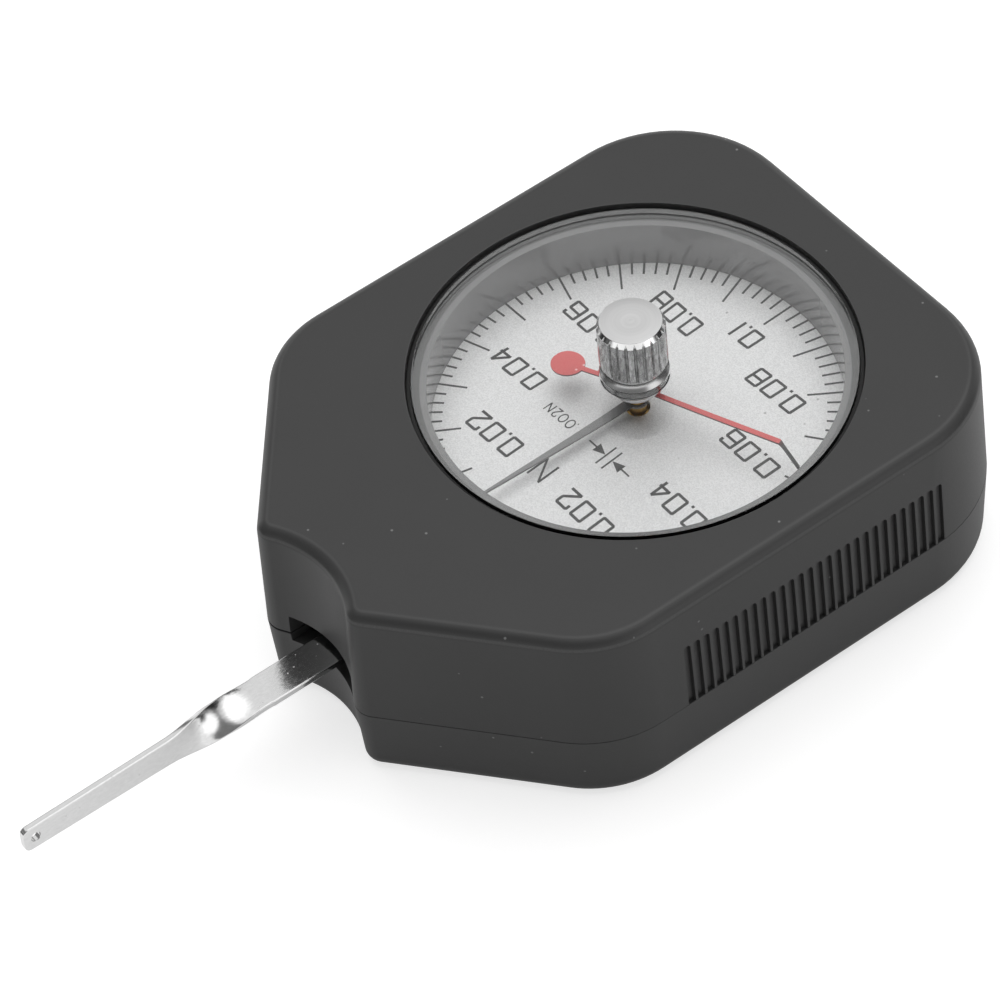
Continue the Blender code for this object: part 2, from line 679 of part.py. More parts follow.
def make_plates():
    lever_axis = (0.0, LEVER_AXIS_Y)
    bush_hole = BUSH_RADIUS + PRESS_GAP
    shared = [plate_outline(), circle(bush_hole, TINY_SIDES),
              circle(bush_hole, TINY_SIDES, lever_axis)]
    spigot = PILLAR_SPIGOT_RADIUS + PRESS_GAP
    bottom = shared + [circle(spigot, TINY_SIDES, p) for p in pillar_places()]
    bottom += [circle(PLATE_SCREW_SHANK + SEAT_GAP, TINY_SIDES, p) for p in post_places()]
    bottom += [circle(STOP_RADIUS + PRESS_GAP, TINY_SIDES, p) for p in stop_places()]
    bottom += [circle(STUD_RADIUS + PRESS_GAP, TINY_SIDES, stud_place())]
    flat_piece("bottom_plate", bottom, BOTTOM_PLATE_Z, BOTTOM_PLATE_Z + PLATE_THICKNESS, PARTS, BRASS)
    top = shared + [circle(PLATE_SCREW_SHANK + SEAT_GAP, TINY_SIDES, p) for p in pillar_places()]
    foot_hole = DIAL_FOOT_RADIUS + DIAL_FOOT_CLEARANCE
    top += [circle(foot_hole, TINY_SIDES, p) for p in dial_foot_places()]
    flat_piece("top_plate", top, TOP_PLATE_Z, TOP_PLATE_Z + PLATE_THICKNESS, PARTS, BRASS)


def make_dial():
    low = DIAL_Z - DIAL_THICKNESS
    dial = flat_piece("dial_plate", [
        circle(DIAL_RADIUS, LARGE_SIDES), circle(DIAL_HOLE_RADIUS, SMALL_SIDES),
    ], low, DIAL_Z, PARTS, DIAL_SILVER)
    shoulder = TOP_PLATE_Z + PLATE_THICKNESS + SEAT_GAP
    for number, (x, y) in enumerate(dial_foot_places(), 1):
        foot = turned(f"dial_foot_{number}", [
            (0.0, low + DIAL_THICKNESS / 2),
            (DIAL_FOOT_SHOULDER, low + DIAL_THICKNESS / 2),
            (DIAL_FOOT_SHOULDER, shoulder),
            (DIAL_FOOT_RADIUS, shoulder),
            (DIAL_FOOT_RADIUS, TOP_PLATE_Z),
            (0.0, TOP_PLATE_Z),
        ], TINY_SIDES, CUTTERS, place=(x, y, 0.0))
        fuse(dial, foot)


def slotted_screw(name, shank, head, head_low, head_high, tip, sides, parent=None,
                  place=(0.0, 0.0, 0.0)):
    """A cheese-head screw. Its slot is at the end of the head away from the tip."""
    outer = head_high if head_high > tip and head_low >= tip else head_low
    inner = head_low if outer == head_high else head_high
    down = [(0.0, outer), (head, outer), (head, inner), (shank, inner), (shank, tip), (0.0, tip)]
    if outer < tip:
        down.reverse()
    screw = turned(name, down, sides, PARTS, SCREW_STEEL, parent, place)
    depth = abs(outer - inner) * SCREW_SLOT_DEPTH_SHARE
    outward = 1 if outer > tip else -1
    ends = sorted((outer - outward * depth, outer + outward * OVERRUN))
    slot = box(name + "_slot", (-head - OVERRUN, -SCREW_SLOT_WIDTH / 2, ends[0]),
               (head + OVERRUN, SCREW_SLOT_WIDTH / 2, ends[1]), CUTTERS, None, parent, place)
    cut(screw, slot)
    return screw


def make_pillars():
    plate_low = BOTTOM_PLATE_Z + PLATE_THICKNESS
    low = plate_low + SEAT_GAP / 2
    high = TOP_PLATE_Z - SEAT_GAP / 2
    plate_high = TOP_PLATE_Z + PLATE_THICKNESS
    bore = PLATE_SCREW_SHANK + PRESS_GAP
    floor = high - PLATE_SCREW_BITE
    for number, (x, y) in enumerate(pillar_places(), 1):
        turned(f"pillar_{number}", [
            (bore, high),
            (PILLAR_RADIUS, high),
            (PILLAR_RADIUS, low),
            (PILLAR_SPIGOT_RADIUS, low),
            (PILLAR_SPIGOT_RADIUS, BOTTOM_PLATE_Z + SEAT_GAP),
            (0.0, BOTTOM_PLATE_Z + SEAT_GAP),
            (0.0, floor),
            (bore, floor),
        ], TINY_SIDES, PARTS, BRASS, place=(x, y, 0.0), ring=True)
        head = plate_high + PRESS_GAP
        slotted_screw(f"pillar_screw_{number}", PLATE_SCREW_SHANK, PLATE_SCREW_HEAD, head,
                      head + PLATE_SCREW_HEAD_THICKNESS, floor + SEAT_GAP, TINY_SIDES,
                      place=(x, y, 0.0))


def make_outer_screws():
    head = BOTTOM_PLATE_Z + PLATE_THICKNESS + PRESS_GAP
    for number, (x, y) in enumerate(post_places(), 1):
        slotted_screw(f"movement_screw_{number}", PLATE_SCREW_SHANK, PLATE_SCREW_HEAD, head,
                      head + PLATE_SCREW_HEAD_THICKNESS, BACK_THICKNESS + SEAT_GAP, TINY_SIDES,
                      place=(x, y, 0.0))
    head = CASE_SCREW_SINK
    under = head + CASE_SCREW_HEAD_THICKNESS
    for number, (x, y) in enumerate(screw_places(), 1):
        slotted_screw(f"case_screw_{number}", CASE_SCREW_SHANK, CASE_SCREW_HEAD, head, under,
                      under + CASE_SCREW_LENGTH, TINY_SIDES, place=(x, y, 0.0))


def make_bushes():
    for plate, name in ((BOTTOM_PLATE_Z, "lower"), (TOP_PLATE_Z, "upper")):
        low = plate - BUSH_STAND
        high = plate + PLATE_THICKNESS + BUSH_STAND
        pointer_bore = POINTER_PIVOT_RADIUS if name == "lower" else POINTER_ARBOR_RADIUS
        tube(f"pointer_bush_{name}", BUSH_RADIUS, pointer_bore + RUN_GAP, low, high, TINY_SIDES,
             PARTS, BRASS)
        tube(f"lever_bush_{name}", BUSH_RADIUS, LEVER_PIVOT_RADIUS + RUN_GAP, low, high,
             TINY_SIDES, PARTS, BRASS, place=(0.0, LEVER_AXIS_Y, 0.0))


# Levels of the lever's stack, worked out from the feeler

FEELER_LOW = FEELER_Z - FEELER_THICKNESS / 2
FEELER_HIGH = FEELER_Z + FEELER_THICKNESS / 2
HUB_HIGH = FEELER_LOW - SEAT_GAP
HUB_LOW = HUB_HIGH - HUB_THICKNESS
SECTOR_LOW = FEELER_HIGH + SEAT_GAP
SECTOR_HIGH = SECTOR_LOW + SECTOR_THICKNESS


def stop_places():
    """Two pins that the feeler's sides meet at the ends of its travel."""
    half = FEELER_BASE_WIDTH / 2
    centre = STOP_REACH * math.tan(LEVER_TRAVEL)
    centre += (half + STOP_RADIUS + STOP_CLEARANCE) / math.cos(LEVER_TRAVEL)
    y = LEVER_AXIS_Y - STOP_REACH
    return [(-centre, y), (centre, y)]


def make_stops():
    for name, place in zip(("left", "right"), stop_places()):
        rod(f"stop_pin_{name}", STOP_RADIUS, BOTTOM_PLATE_Z, FEELER_HIGH + SEAT_GAP, TINY_SIDES,
            PARTS, STEEL, place=(*place, 0.0))


# Feeler: a flat strip, turned a quarter and tapered to its tip

def strip_ring(y, turn, half_width, half_thickness):
    """A section of the strip, square to Y, with small flats on its four edges."""
    edge = FEELER_EDGE
    flat = [
        (half_width, half_thickness - edge), (half_width - edge, half_thickness),
        (-half_width + edge, half_thickness), (-half_width, half_thickness - edge),
        (-half_width, -half_thickness + edge), (-half_width + edge, -half_thickness),
        (half_width - edge, -half_thickness), (half_width, -half_thickness + edge),
    ]
    c = math.cos(turn)
    s = math.sin(turn)
    return [(u * c + w * s, y, FEELER_Z - u * s + w * c) for u, w in flat]


def smooth_step(share):
    return share * share * (3 - 2 * share)


def feeler_rings():
    tip = FEELER_TIP_Y - LEVER_AXIS_Y
    start = TWIST_START_Y - LEVER_AXIS_Y
    end = TWIST_END_Y - LEVER_AXIS_Y
    base = FEELER_BASE_WIDTH / 2
    thick = FEELER_THICKNESS / 2
    narrow = FEELER_TIP_WIDTH / 2

    def half_width(y):
        share = (y - start) / (tip - start)
        return base + (narrow - base) * math.sqrt(max(share, 0.0))

    corner = FEELER_CORNER
    rings = [
        strip_ring(FEELER_TAIL, 0.0, base - corner, thick),
        strip_ring(FEELER_TAIL - corner, 0.0, base, thick),
    ]
    for k in range(TWIST_STEPS + 1):
        share = k / TWIST_STEPS
        y = start + (end - start) * share
        rings.append(strip_ring(y, math.pi / 2 * smooth_step(share), half_width(y), thick))
    rings += [
        strip_ring(tip + corner, math.pi / 2, half_width(tip + corner), thick),
        strip_ring(tip + corner / 4, math.pi / 2, half_width(tip) - corner / 4, thick),
        strip_ring(tip, math.pi / 2, half_width(tip) - corner, thick),
    ]
    return rings


def make_feeler(lever):
    feeler = loft("feeler", [feeler_rings()], PARTS, BRIGHT_STEEL, lever)
    arbor_hole = rod("feeler_arbor_hole", LEVER_ARBOR_RADIUS + PRESS_GAP, FEELER_LOW - OVERRUN,
                     FEELER_HIGH + OVERRUN, TINY_SIDES, CUTTERS, parent=lever)
    cut(feeler, arbor_hole)
    for number, reach in enumerate(CLAMP_SCREW_PLACES, 1):
        hole = rod(f"feeler_screw_hole_{number}", CLAMP_SCREW_SHANK + PRESS_GAP,
                   FEELER_LOW - OVERRUN, FEELER_HIGH + OVERRUN, TINY_SIDES, CUTTERS, None, lever,
                   (0.0, -reach, 0.0))
        cut(feeler, hole)
    tip_hole = rod("feeler_tip_hole", FEELER_HOLE_RADIUS, -OVERRUN, OVERRUN, SMALL_SIDES, CUTTERS,
                   None, lever, (0.0, FEELER_TIP_Y + FEELER_HOLE_INSET - LEVER_AXIS_Y, FEELER_Z))
    tip_hole.rotation_euler = (0.0, math.pi / 2, 0.0)
    cut(feeler, tip_hole)


def make_lever_hub(lever):
    half = HUB_HALF_WIDTH
    outline = arc((0.0, HUB_TAIL - half), half, 0.0, math.pi, ROUND_END_STEPS)
    outline += arc((0.0, -HUB_REACH + half), half, math.pi, math.tau, ROUND_END_STEPS)
    holes = [circle(LEVER_ARBOR_RADIUS + PRESS_GAP, TINY_SIDES)]
    holes += [circle(CLAMP_SCREW_SHANK + PRESS_GAP, TINY_SIDES, (0.0, -r)) for r in CLAMP_SCREW_PLACES]
    flat_piece("lever_hub", [outline] + holes, HUB_LOW, HUB_HIGH, PARTS, BRASS, lever)


def make_lever_arbor(lever):
    low = BOTTOM_PLATE_Z + PLATE_THICKNESS + BUSH_STAND + SEAT_GAP
    high = TOP_PLATE_Z - BUSH_STAND - SEAT_GAP
    turned("lever_arbor", [
        (0.0, TOP_PLATE_Z + PLATE_THICKNESS),
        (LEVER_PIVOT_RADIUS, TOP_PLATE_Z + PLATE_THICKNESS),
        (LEVER_PIVOT_RADIUS, high),
        (LEVER_ARBOR_RADIUS, high),
        (LEVER_ARBOR_RADIUS, low),
        (LEVER_PIVOT_RADIUS, low),
        (LEVER_PIVOT_RADIUS, BOTTOM_PLATE_Z),
        (0.0, BOTTOM_PLATE_Z),
    ], TINY_SIDES, PARTS, STEEL, lever)


# Gear teeth

def involute(angle):
    return math.tan(angle) - angle


def tooth_half_angle(radius, teeth):
    """Half the angle that a tooth takes up at a radius; its flank is radial below the base."""
    pitch = GEAR_MODULE * teeth / 2
    base = pitch * math.cos(PRESSURE_ANGLE)
    at_pitch = math.pi / 2 / teeth - BACKLASH / 2 / pitch
    if radius <= base:
        return at_pitch + involute(PRESSURE_ANGLE)
    return at_pitch + involute(PRESSURE_ANGLE) - involute(math.acos(base / radius))


def gear_tooth(middle, teeth, addendum_share, dedendum_share):
    """Points over one tooth, anticlockwise, from root to root."""
    pitch = GEAR_MODULE * teeth / 2
    root = pitch - GEAR_MODULE * dedendum_share
    tip = pitch + GEAR_MODULE * addendum_share
    radii = [root, (root + pitch) / 2, pitch, tip]
    rise = [(r, middle - tooth_half_angle(r, teeth)) for r in radii]
    fall = [(r, middle + tooth_half_angle(r, teeth)) for r in reversed(radii)]
    return [(r * math.cos(a), r * math.sin(a)) for r, a in rise + fall]


def make_pinion(pointer):
    step = math.tau / PINION_TEETH
    first = -math.pi / 2 + step / 2
    outline = []
    for k in range(PINION_TEETH):
        outline += gear_tooth(first + k * step, PINION_TEETH, PINION_ADDENDUM_SHARE,
                              PINION_DEDENDUM_SHARE)
    bore = circle(POINTER_ARBOR_RADIUS + PRESS_GAP, TINY_SIDES)
    flat_piece("pinion", [outline, bore], SECTOR_LOW - PINION_EXTRA, SECTOR_HIGH + PINION_EXTRA,
               PARTS, STEEL, pointer)


def sector_window(side, inner, outer, half_span):
    """One lightening hole, between the middle arm and an outer arm."""
    arm = SECTOR_ARM_WIDTH / 2

    def edge(radius, inset):
        return math.pi / 2 - side * (half_span - inset / radius)

    near = math.pi / 2 - side * (arm / inner)
    far = math.pi / 2 - side * (arm / outer)
    points = arc((0.0, 0.0), outer, far, edge(outer, SECTOR_ARM_WIDTH), 3)
    points += arc((0.0, 0.0), inner, edge(inner, SECTOR_ARM_WIDTH / 2), near, 2)
    return points


def make_sector(lever):
    teeth = SECTOR_TEETH_ROUND
    pitch = GEAR_MODULE * teeth / 2
    step = math.tau / teeth
    middle = math.pi / 2
    reach = (SECTOR_TEETH_CUT - 1) / 2
    outline = []
    for k in range(SECTOR_TEETH_CUT):
        outline += gear_tooth(middle + (k - reach) * step, teeth, SECTOR_ADDENDUM_SHARE,
                              SECTOR_DEDENDUM_SHARE)
    half_span = step * SECTOR_TEETH_CUT / 2
    rim = pitch - GEAR_MODULE * SECTOR_DEDENDUM_SHARE
    hub = SECTOR_HUB_RADIUS
    tail = SECTOR_HUB_TAIL_HALF_WIDTH
    wing = half_span + SECTOR_HUB_WRAP
    join = math.asin(tail / hub)
    outline.append((-rim * math.sin(half_span), rim * math.cos(half_span)))
    outline += arc((0.0, 0.0), hub, middle + wing, math.pi * 3 / 2 - join, CORNER_STEPS)
    outline += arc((0.0, -HUB_REACH + tail), tail, math.pi, math.tau, ROUND_END_STEPS)
    outline += arc((0.0, 0.0), hub, -math.pi / 2 + join, middle - wing, CORNER_STEPS)
    outline.append((rim * math.sin(half_span), rim * math.cos(half_span)))
    holes = [circle(LEVER_ARBOR_RADIUS + PRESS_GAP, TINY_SIDES)]
    holes += [circle(CLAMP_SCREW_SHANK + PRESS_GAP, TINY_SIDES, (0.0, -r)) for r in CLAMP_SCREW_PLACES]
    windows = [
        sector_window(side, SECTOR_WINDOW_START, rim - SECTOR_RIM, half_span) for side in (1, -1)
    ]
    flat_piece("sector_gear", [outline] + holes + windows, SECTOR_LOW, SECTOR_HIGH, PARTS, BRASS,
               lever)


def make_clamp_screws(lever):
    for number, reach in enumerate(CLAMP_SCREW_PLACES, 1):
        head = SECTOR_HIGH + PRESS_GAP
        slotted_screw(f"clamp_screw_{number}", CLAMP_SCREW_SHANK, CLAMP_SCREW_HEAD, head,
                      head + PLATE_SCREW_HEAD_THICKNESS, HUB_LOW + SEAT_GAP, TINY_SIDES, lever,
                      (0.0, -reach, 0.0))


# Pointer arbor, hairspring and reading pointer

def make_pointer_arbor(pointer):
    low = BOTTOM_PLATE_Z + PLATE_THICKNESS + BUSH_STAND + SEAT_GAP
    high = TOP_PLATE_Z - BUSH_STAND - SEAT_GAP
    turned("pointer_arbor", [
        (0.0, ARBOR_TOP),
        (POINTER_ARBOR_RADIUS, ARBOR_TOP),
        (POINTER_ARBOR_RADIUS, high),
        (POINTER_SHOULDER_RADIUS, high),
        (POINTER_SHOULDER_RADIUS, high - POINTER_SHOULDER),
        (POINTER_ARBOR_RADIUS, high - POINTER_SHOULDER),
        (POINTER_ARBOR_RADIUS, low),
        (POINTER_PIVOT_RADIUS, low),
        (POINTER_PIVOT_RADIUS, BOTTOM_PLATE_Z),
        (0.0, BOTTOM_PLATE_Z),
    ], TINY_SIDES, PARTS, STEEL, pointer)
    collet_low = HAIRSPRING_Z - HAIRSPRING_HEIGHT / 2 - SEAT_GAP
    collet_high = HAIRSPRING_Z + HAIRSPRING_HEIGHT / 2 + SEAT_GAP
    tube("hairspring_collet", COLLET_RADIUS, POINTER_ARBOR_RADIUS + PRESS_GAP, collet_low,
         collet_high, TINY_SIDES, PARTS, BRASS, pointer)


def hairspring_reach(turns):
    return HAIRSPRING_START + HAIRSPRING_PITCH * turns


def stud_place():
    outer = hairspring_reach(HAIRSPRING_TURNS) + HAIRSPRING_THICKNESS / 2
    return (outer + SEAT_GAP + STUD_RADIUS, 0.0)


def make_hairspring():
    half = HAIRSPRING_HEIGHT / 2
    thin = HAIRSPRING_THICKNESS / 2
    rings = []
    for k in range(HAIRSPRING_TURNS * HAIRSPRING_POINTS_PER_TURN + 1):
        turns = k / HAIRSPRING_POINTS_PER_TURN
        reach = hairspring_reach(turns)
        angle = math.tau * turns
        c = math.cos(angle)
        s = math.sin(angle)
        section = ((reach - thin, -half), (reach + thin, -half), (reach + thin, half), (reach - thin, half))
        rings.append([(r * c, r * s, HAIRSPRING_Z + z) for r, z in section])
    loft("hairspring", [rings], PARTS, SPRING_STEEL)
    print(f"hairspring gap {(HAIRSPRING_PITCH - HAIRSPRING_THICKNESS) / MM:.2f} mm")
    rod("hairspring_stud", STUD_RADIUS, BOTTOM_PLATE_Z, HAIRSPRING_Z + half + SEAT_GAP, TINY_SIDES,
        PARTS, BRASS, place=(*stud_place(), 0.0))


def facing(angle):
    """Turns a shape drawn along -Y to an angle measured from -Y towards +X."""
    return Matrix.Rotation(angle, 2)


def turned_outline(points, angle):
    matrix = facing(angle)
    return [tuple(matrix @ Vector(point)) for point in points]


def ring_and_arm(ring, root, length, tip):
    """Outline of a ring with one tapering arm towards -Y."""
    join = math.asin(root / 2 / ring)
    outline = arc((0.0, 0.0), ring, -math.pi / 2 + join, math.pi * 3 / 2 - join, SMALL_SIDES)
    return outline + [(-tip / 2, -length), (tip / 2, -length)]


def make_pointer(pointer):
    low = POINTER_Z
    outline = ring_and_arm(POINTER_RING_RADIUS, POINTER_ROOT_WIDTH, POINTER_LENGTH, POINTER_TIP_WIDTH)
    bore = circle(POINTER_ARBOR_RADIUS + PRESS_GAP, TINY_SIDES)
    flat_piece("main_pointer", [turned_outline(outline, POINTER_REST), bore], low,
               low + POINTER_THICKNESS, PARTS, POINTER_GREY, pointer)
    tube("pointer_hub", POINTER_HUB_RADIUS, POINTER_ARBOR_RADIUS + PRESS_GAP, DIAL_Z - SEAT_GAP,
         low - PRESS_GAP, TINY_SIDES, PARTS, BRASS, pointer)
    cap_low = low + POINTER_THICKNESS + PRESS_GAP
    tube("pointer_cap", POINTER_HUB_RADIUS, POINTER_ARBOR_RADIUS + PRESS_GAP, cap_low,
         ARBOR_TOP, TINY_SIDES, PARTS, BRASS, pointer)


# Hold pointer, stem and knob

def make_hold_pointer(hold):
    arm = HOLD_ARM_WIDTH / 2
    ring = HOLD_RING_RADIUS
    join = math.asin(arm / ring)
    weight = (0.0, HOLD_WEIGHT_REACH)
    neck = math.asin(arm / HOLD_WEIGHT_RADIUS)
    outline = arc((0.0, 0.0), ring, -math.pi / 2 + join, math.pi / 2 - join, ROUND_END_STEPS)
    outline += arc(weight, HOLD_WEIGHT_RADIUS, -math.pi / 2 + neck, math.pi * 3 / 2 - neck,
                   ROUND_END_STEPS * 2)
    outline += arc((0.0, 0.0), ring, math.pi / 2 + join, math.pi * 3 / 2 - join, ROUND_END_STEPS)
    outline += [(-arm, -HOLD_BEND_REACH), (arm, -HOLD_BEND_REACH)]
    bore = circle(STEM_RADIUS + PRESS_GAP, SMALL_SIDES)
    high = HOLD_Z + HOLD_THICKNESS
    pointer = flat_piece("hold_pointer", [turned_outline(outline, HOLD_REST), bore], HOLD_Z, high,
                         PARTS, HOLD_RED, hold)
    tip_low = POINTER_Z + POINTER_THICKNESS + HOLD_TIP_CLEARANCE
    tip = HOLD_TIP_WIDTH / 2
    start = -HOLD_BEND_REACH + HOLD_ARM_WIDTH
    stations = (
        (0.0, start, arm, HOLD_Z),
        (0.0, -HOLD_BEND_REACH - HOLD_THICKNESS, arm, HOLD_Z),
        (HOLD_TIP_SIDE, -HOLD_TIP_REACH, tip, tip_low),
    )
    rings = []
    for x, y, half, z in stations:
        plan = turned_outline([(x - half, y), (x + half, y)], HOLD_REST)
        top = z + HOLD_THICKNESS
        rings.append([(*plan[0], z), (*plan[1], z), (*plan[1], top), (*plan[0], top)])
    fuse(pointer, loft("hold_tip", [rings], CUTTERS, None, hold))


def make_hold_stack(hold):
    bore = STEM_RADIUS + PRESS_GAP
    rod("knob_stem", STEM_RADIUS, STEM_BOTTOM, STEM_TOP, SMALL_SIDES, PARTS, STEEL, hold)
    washer_high = CASE_TOP - CRYSTAL_RECESS - CRYSTAL_THICKNESS - SEAT_GAP
    washer_low = washer_high - WASHER_THICKNESS
    tube("thrust_washer", WASHER_RADIUS, bore, washer_low, washer_high, TINY_SIDES, PARTS, STEEL,
         hold)
    nut_high = washer_low - PRESS_GAP
    edge = NUT_THICKNESS / 4
    turned("lock_nut", [
        (bore, nut_high),
        (NUT_RADIUS, nut_high),
        (NUT_RADIUS, nut_high - NUT_THICKNESS + edge),
        (NUT_RADIUS - edge, nut_high - NUT_THICKNESS),
        (bore, nut_high - NUT_THICKNESS),
    ], SMALL_SIDES, PARTS, STEEL, hold, ring=True)
    hub_high = HOLD_Z - PRESS_GAP
    tube("hold_pointer_hub", HOLD_HUB_RADIUS, bore, hub_high - HOLD_HUB_LENGTH, hub_high,
         TINY_SIDES, PARTS, STEEL, hold)


def knurl_ring(radius, depth, z):
    """A ring of flutes: one point in each groove and two on each land."""
    points = []
    step = math.tau / KNURL_FLUTES
    for k in range(KNURL_FLUTES):
        groove = k * step
        land = step * KNURL_LAND_SHARE / 2
        for reach, angle in (
            (radius - depth, groove),
            (radius, groove + step / 2 - land),
            (radius, groove + step / 2 + land),
        ):
            points.append((reach * math.cos(angle), reach * math.sin(angle), z))
    return points


def make_knob(hold):
    low = CASE_TOP - CRYSTAL_RECESS + SEAT_GAP
    collar_top = low + KNOB_COLLAR_HEIGHT
    knurl_low = collar_top + KNOB_NECK_RISE
    knurl_high = KNOB_TOP - KNOB_CHAMFER
    edge = KNOB_CHAMFER / 2
    knob = loft("knob", [[
        knurl_ring(KNOB_COLLAR_RADIUS, 0.0, low),
        knurl_ring(KNOB_COLLAR_RADIUS, 0.0, collar_top - edge),
        knurl_ring(KNOB_NECK_RADIUS, 0.0, collar_top + edge),
        knurl_ring(KNOB_NECK_RADIUS, 0.0, knurl_low),
        knurl_ring(KNURL_RADIUS, KNURL_DEPTH, knurl_low + edge),
        knurl_ring(KNURL_RADIUS, KNURL_DEPTH, knurl_high),
        knurl_ring(KNOB_CROWN_RADIUS, 0.0, KNOB_TOP),
    ]], PARTS, BRIGHT_STEEL, hold)
    bore = rod("knob_bore", STEM_RADIUS + PRESS_GAP, low - OVERRUN, STEM_TOP + SEAT_GAP,
               SMALL_SIDES, CUTTERS, parent=hold)
    cut(knob, bore)


# The gauge

LEVER = joint_empty("lever_axis", (0.0, LEVER_AXIS_Y, 0.0))
POINTER = joint_empty("pointer_axis", (0.0, 0.0, 0.0))
HOLD = joint_empty("hold_axis", (0.0, 0.0, 0.0))

make_upper_case()
make_lower_case()
make_crystal()
make_plates()
make_dial()
make_pillars()
make_outer_screws()
make_bushes()
make_stops()
make_hairspring()
make_feeler(LEVER)
make_lever_hub(LEVER)
make_lever_arbor(LEVER)
make_sector(LEVER)
make_clamp_screws(LEVER)
make_pointer_arbor(POINTER)
make_pinion(POINTER)
make_pointer(POINTER)
make_hold_pointer(HOLD)
make_hold_stack(HOLD)
make_knob(HOLD)

bpy.context.view_layer.update()
for piece in PARTS.objects:
    if piece.type == "MESH":
        finish(piece)
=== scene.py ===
# %% [markdown]
# # A dial tension gauge, finished in Blender
# The gauge is a palm-sized instrument: a black moulded case, a clear dial cover, a printed dial
# with two pointers, a knurled knob and a twisted steel feeler. Its frame was made and packed in
# CAD, so this lesson loads that frame and gives each visible piece its finished shape and
# surface. One millimetre is written as MM, because the frame is in metres.

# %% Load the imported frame
import json
from math import asin, atan2, copysign, cos, pi, radians, sin, sqrt, tau

import bmesh
import bpy
from mathutils import Matrix, Vector


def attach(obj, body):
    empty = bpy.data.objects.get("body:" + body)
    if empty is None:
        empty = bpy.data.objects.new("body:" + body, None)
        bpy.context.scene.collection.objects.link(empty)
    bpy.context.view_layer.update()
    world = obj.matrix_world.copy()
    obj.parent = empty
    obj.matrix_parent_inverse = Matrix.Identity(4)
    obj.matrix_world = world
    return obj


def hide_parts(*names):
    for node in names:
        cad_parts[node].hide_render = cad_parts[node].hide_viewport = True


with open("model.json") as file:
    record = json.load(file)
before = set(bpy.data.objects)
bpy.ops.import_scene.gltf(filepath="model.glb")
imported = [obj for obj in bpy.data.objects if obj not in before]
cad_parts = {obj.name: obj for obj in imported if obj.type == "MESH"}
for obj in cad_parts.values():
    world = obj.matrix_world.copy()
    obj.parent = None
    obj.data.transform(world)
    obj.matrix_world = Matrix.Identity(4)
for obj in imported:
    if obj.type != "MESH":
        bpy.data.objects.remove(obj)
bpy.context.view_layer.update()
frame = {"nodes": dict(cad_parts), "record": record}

MM = 0.001


def in_mm(points):
    """Points that are written in millimetres, in metres."""
    return [tuple(value * MM for value in point) for point in points]


# %% [markdown]
# ## The camera
# A long lens a little over half a metre away gives the mild perspective of a product picture.
# The camera could be aimed with a constraint, but three angles and a place are enough, and they
# stay exact: azimuth, elevation, and a small roll, because the gauge lies turned in the frame.

# %% Place the camera
def link(made):
    """Puts a new object into the scene."""
    bpy.context.scene.collection.objects.link(made)
    return made


IMAGE_SIDE = 1001
FOCAL_PIXELS = 5626.6
SENSOR = 36.0
AZIMUTH = radians(57.585)
ELEVATION = radians(47.893)
ROLL = radians(-6.586)
CAMERA_PLACE = Vector((350.17, -241.71, 476.39)) * MM

back = Vector((sin(AZIMUTH) * cos(ELEVATION), -cos(AZIMUTH) * cos(ELEVATION),
               sin(ELEVATION)))
level = Vector((cos(AZIMUTH), sin(AZIMUTH), 0.0))
upright = back.cross(level)
right = level * cos(ROLL) + upright * sin(ROLL)
up = upright * cos(ROLL) - level * sin(ROLL)
camera = link(bpy.data.objects.new("camera", bpy.data.cameras.new("camera")))
camera.matrix_world = Matrix((right, up, back)).transposed().to_4x4()
camera.location = CAMERA_PLACE
camera.data.sensor_width = SENSOR
camera.data.lens = FOCAL_PIXELS * SENSOR / IMAGE_SIDE
camera.data.clip_end = 10.0
bpy.context.scene.camera = camera
bpy.context.scene.view_settings.view_transform = "Standard"
print("lens (mm)", round(camera.data.lens, 2))

# %% [markdown]
# ## Node trees written as sums
# Materials, the world and Geometry Nodes are all node trees. Wiring each node by hand hides the
# idea behind it, so one small class wraps an output socket. Plus, minus, times and divide on it
# add Math nodes, and its node method adds any other node: the settings first, then the values or
# links of its sockets.

# %% Wrap a socket
class Wire:
    """One output socket of a node tree, with arithmetic that adds Math nodes."""

    def __init__(self, tree, socket=None):
        self.tree = tree
        self.socket = socket

    def node(self, kind, settings=None, values=None, output=0):
        made = self.tree.nodes.new(kind)
        for name, value in (settings or {}).items():
            if name == "stops":
                self.set_stops(made.color_ramp, value)
            else:
                setattr(made, name, value)
        for key, value in (values or {}).items():
            self.feed(made.inputs[key], value)
        return Wire(self.tree, made.outputs[output] if made.outputs else None)

    def feed(self, target, value):
        if isinstance(value, Wire):
            self.tree.links.new(value.socket, target)
        else:
            target.default_value = value

    def set_stops(self, ramp, stops):
        while len(ramp.elements) < len(stops):
            ramp.elements.new(0.5)
        for element, (place, colour) in zip(ramp.elements, stops):
            element.position = place
            element.color = colour

    def output(self, number):
        return Wire(self.tree, self.socket.node.outputs[number])

    def maths(self, operation, first, second=0.0):
        return self.node("ShaderNodeMath", {"operation": operation}, {0: first, 1: second})

    def __add__(self, other):
        return self.maths("ADD", self, other)

    def __radd__(self, other):
        return self.maths("ADD", other, self)

    def __sub__(self, other):
        return self.maths("SUBTRACT", self, other)

    def __rsub__(self, other):
        return self.maths("SUBTRACT", other, self)

    def __mul__(self, other):
        return self.maths("MULTIPLY", self, other)

    def __rmul__(self, other):
        return self.maths("MULTIPLY", other, self)

    def __truediv__(self, other):
        return self.maths("DIVIDE", self, other)


# %% Soft steps, blends and noise
def between(value, low, high):
    """0 under the low value and 1 over the high one, with a soft change."""
    return value.node("ShaderNodeMapRange", {"interpolation_type": "SMOOTHSTEP"},
                      {"Value": value, "From Min": low, "From Max": high})


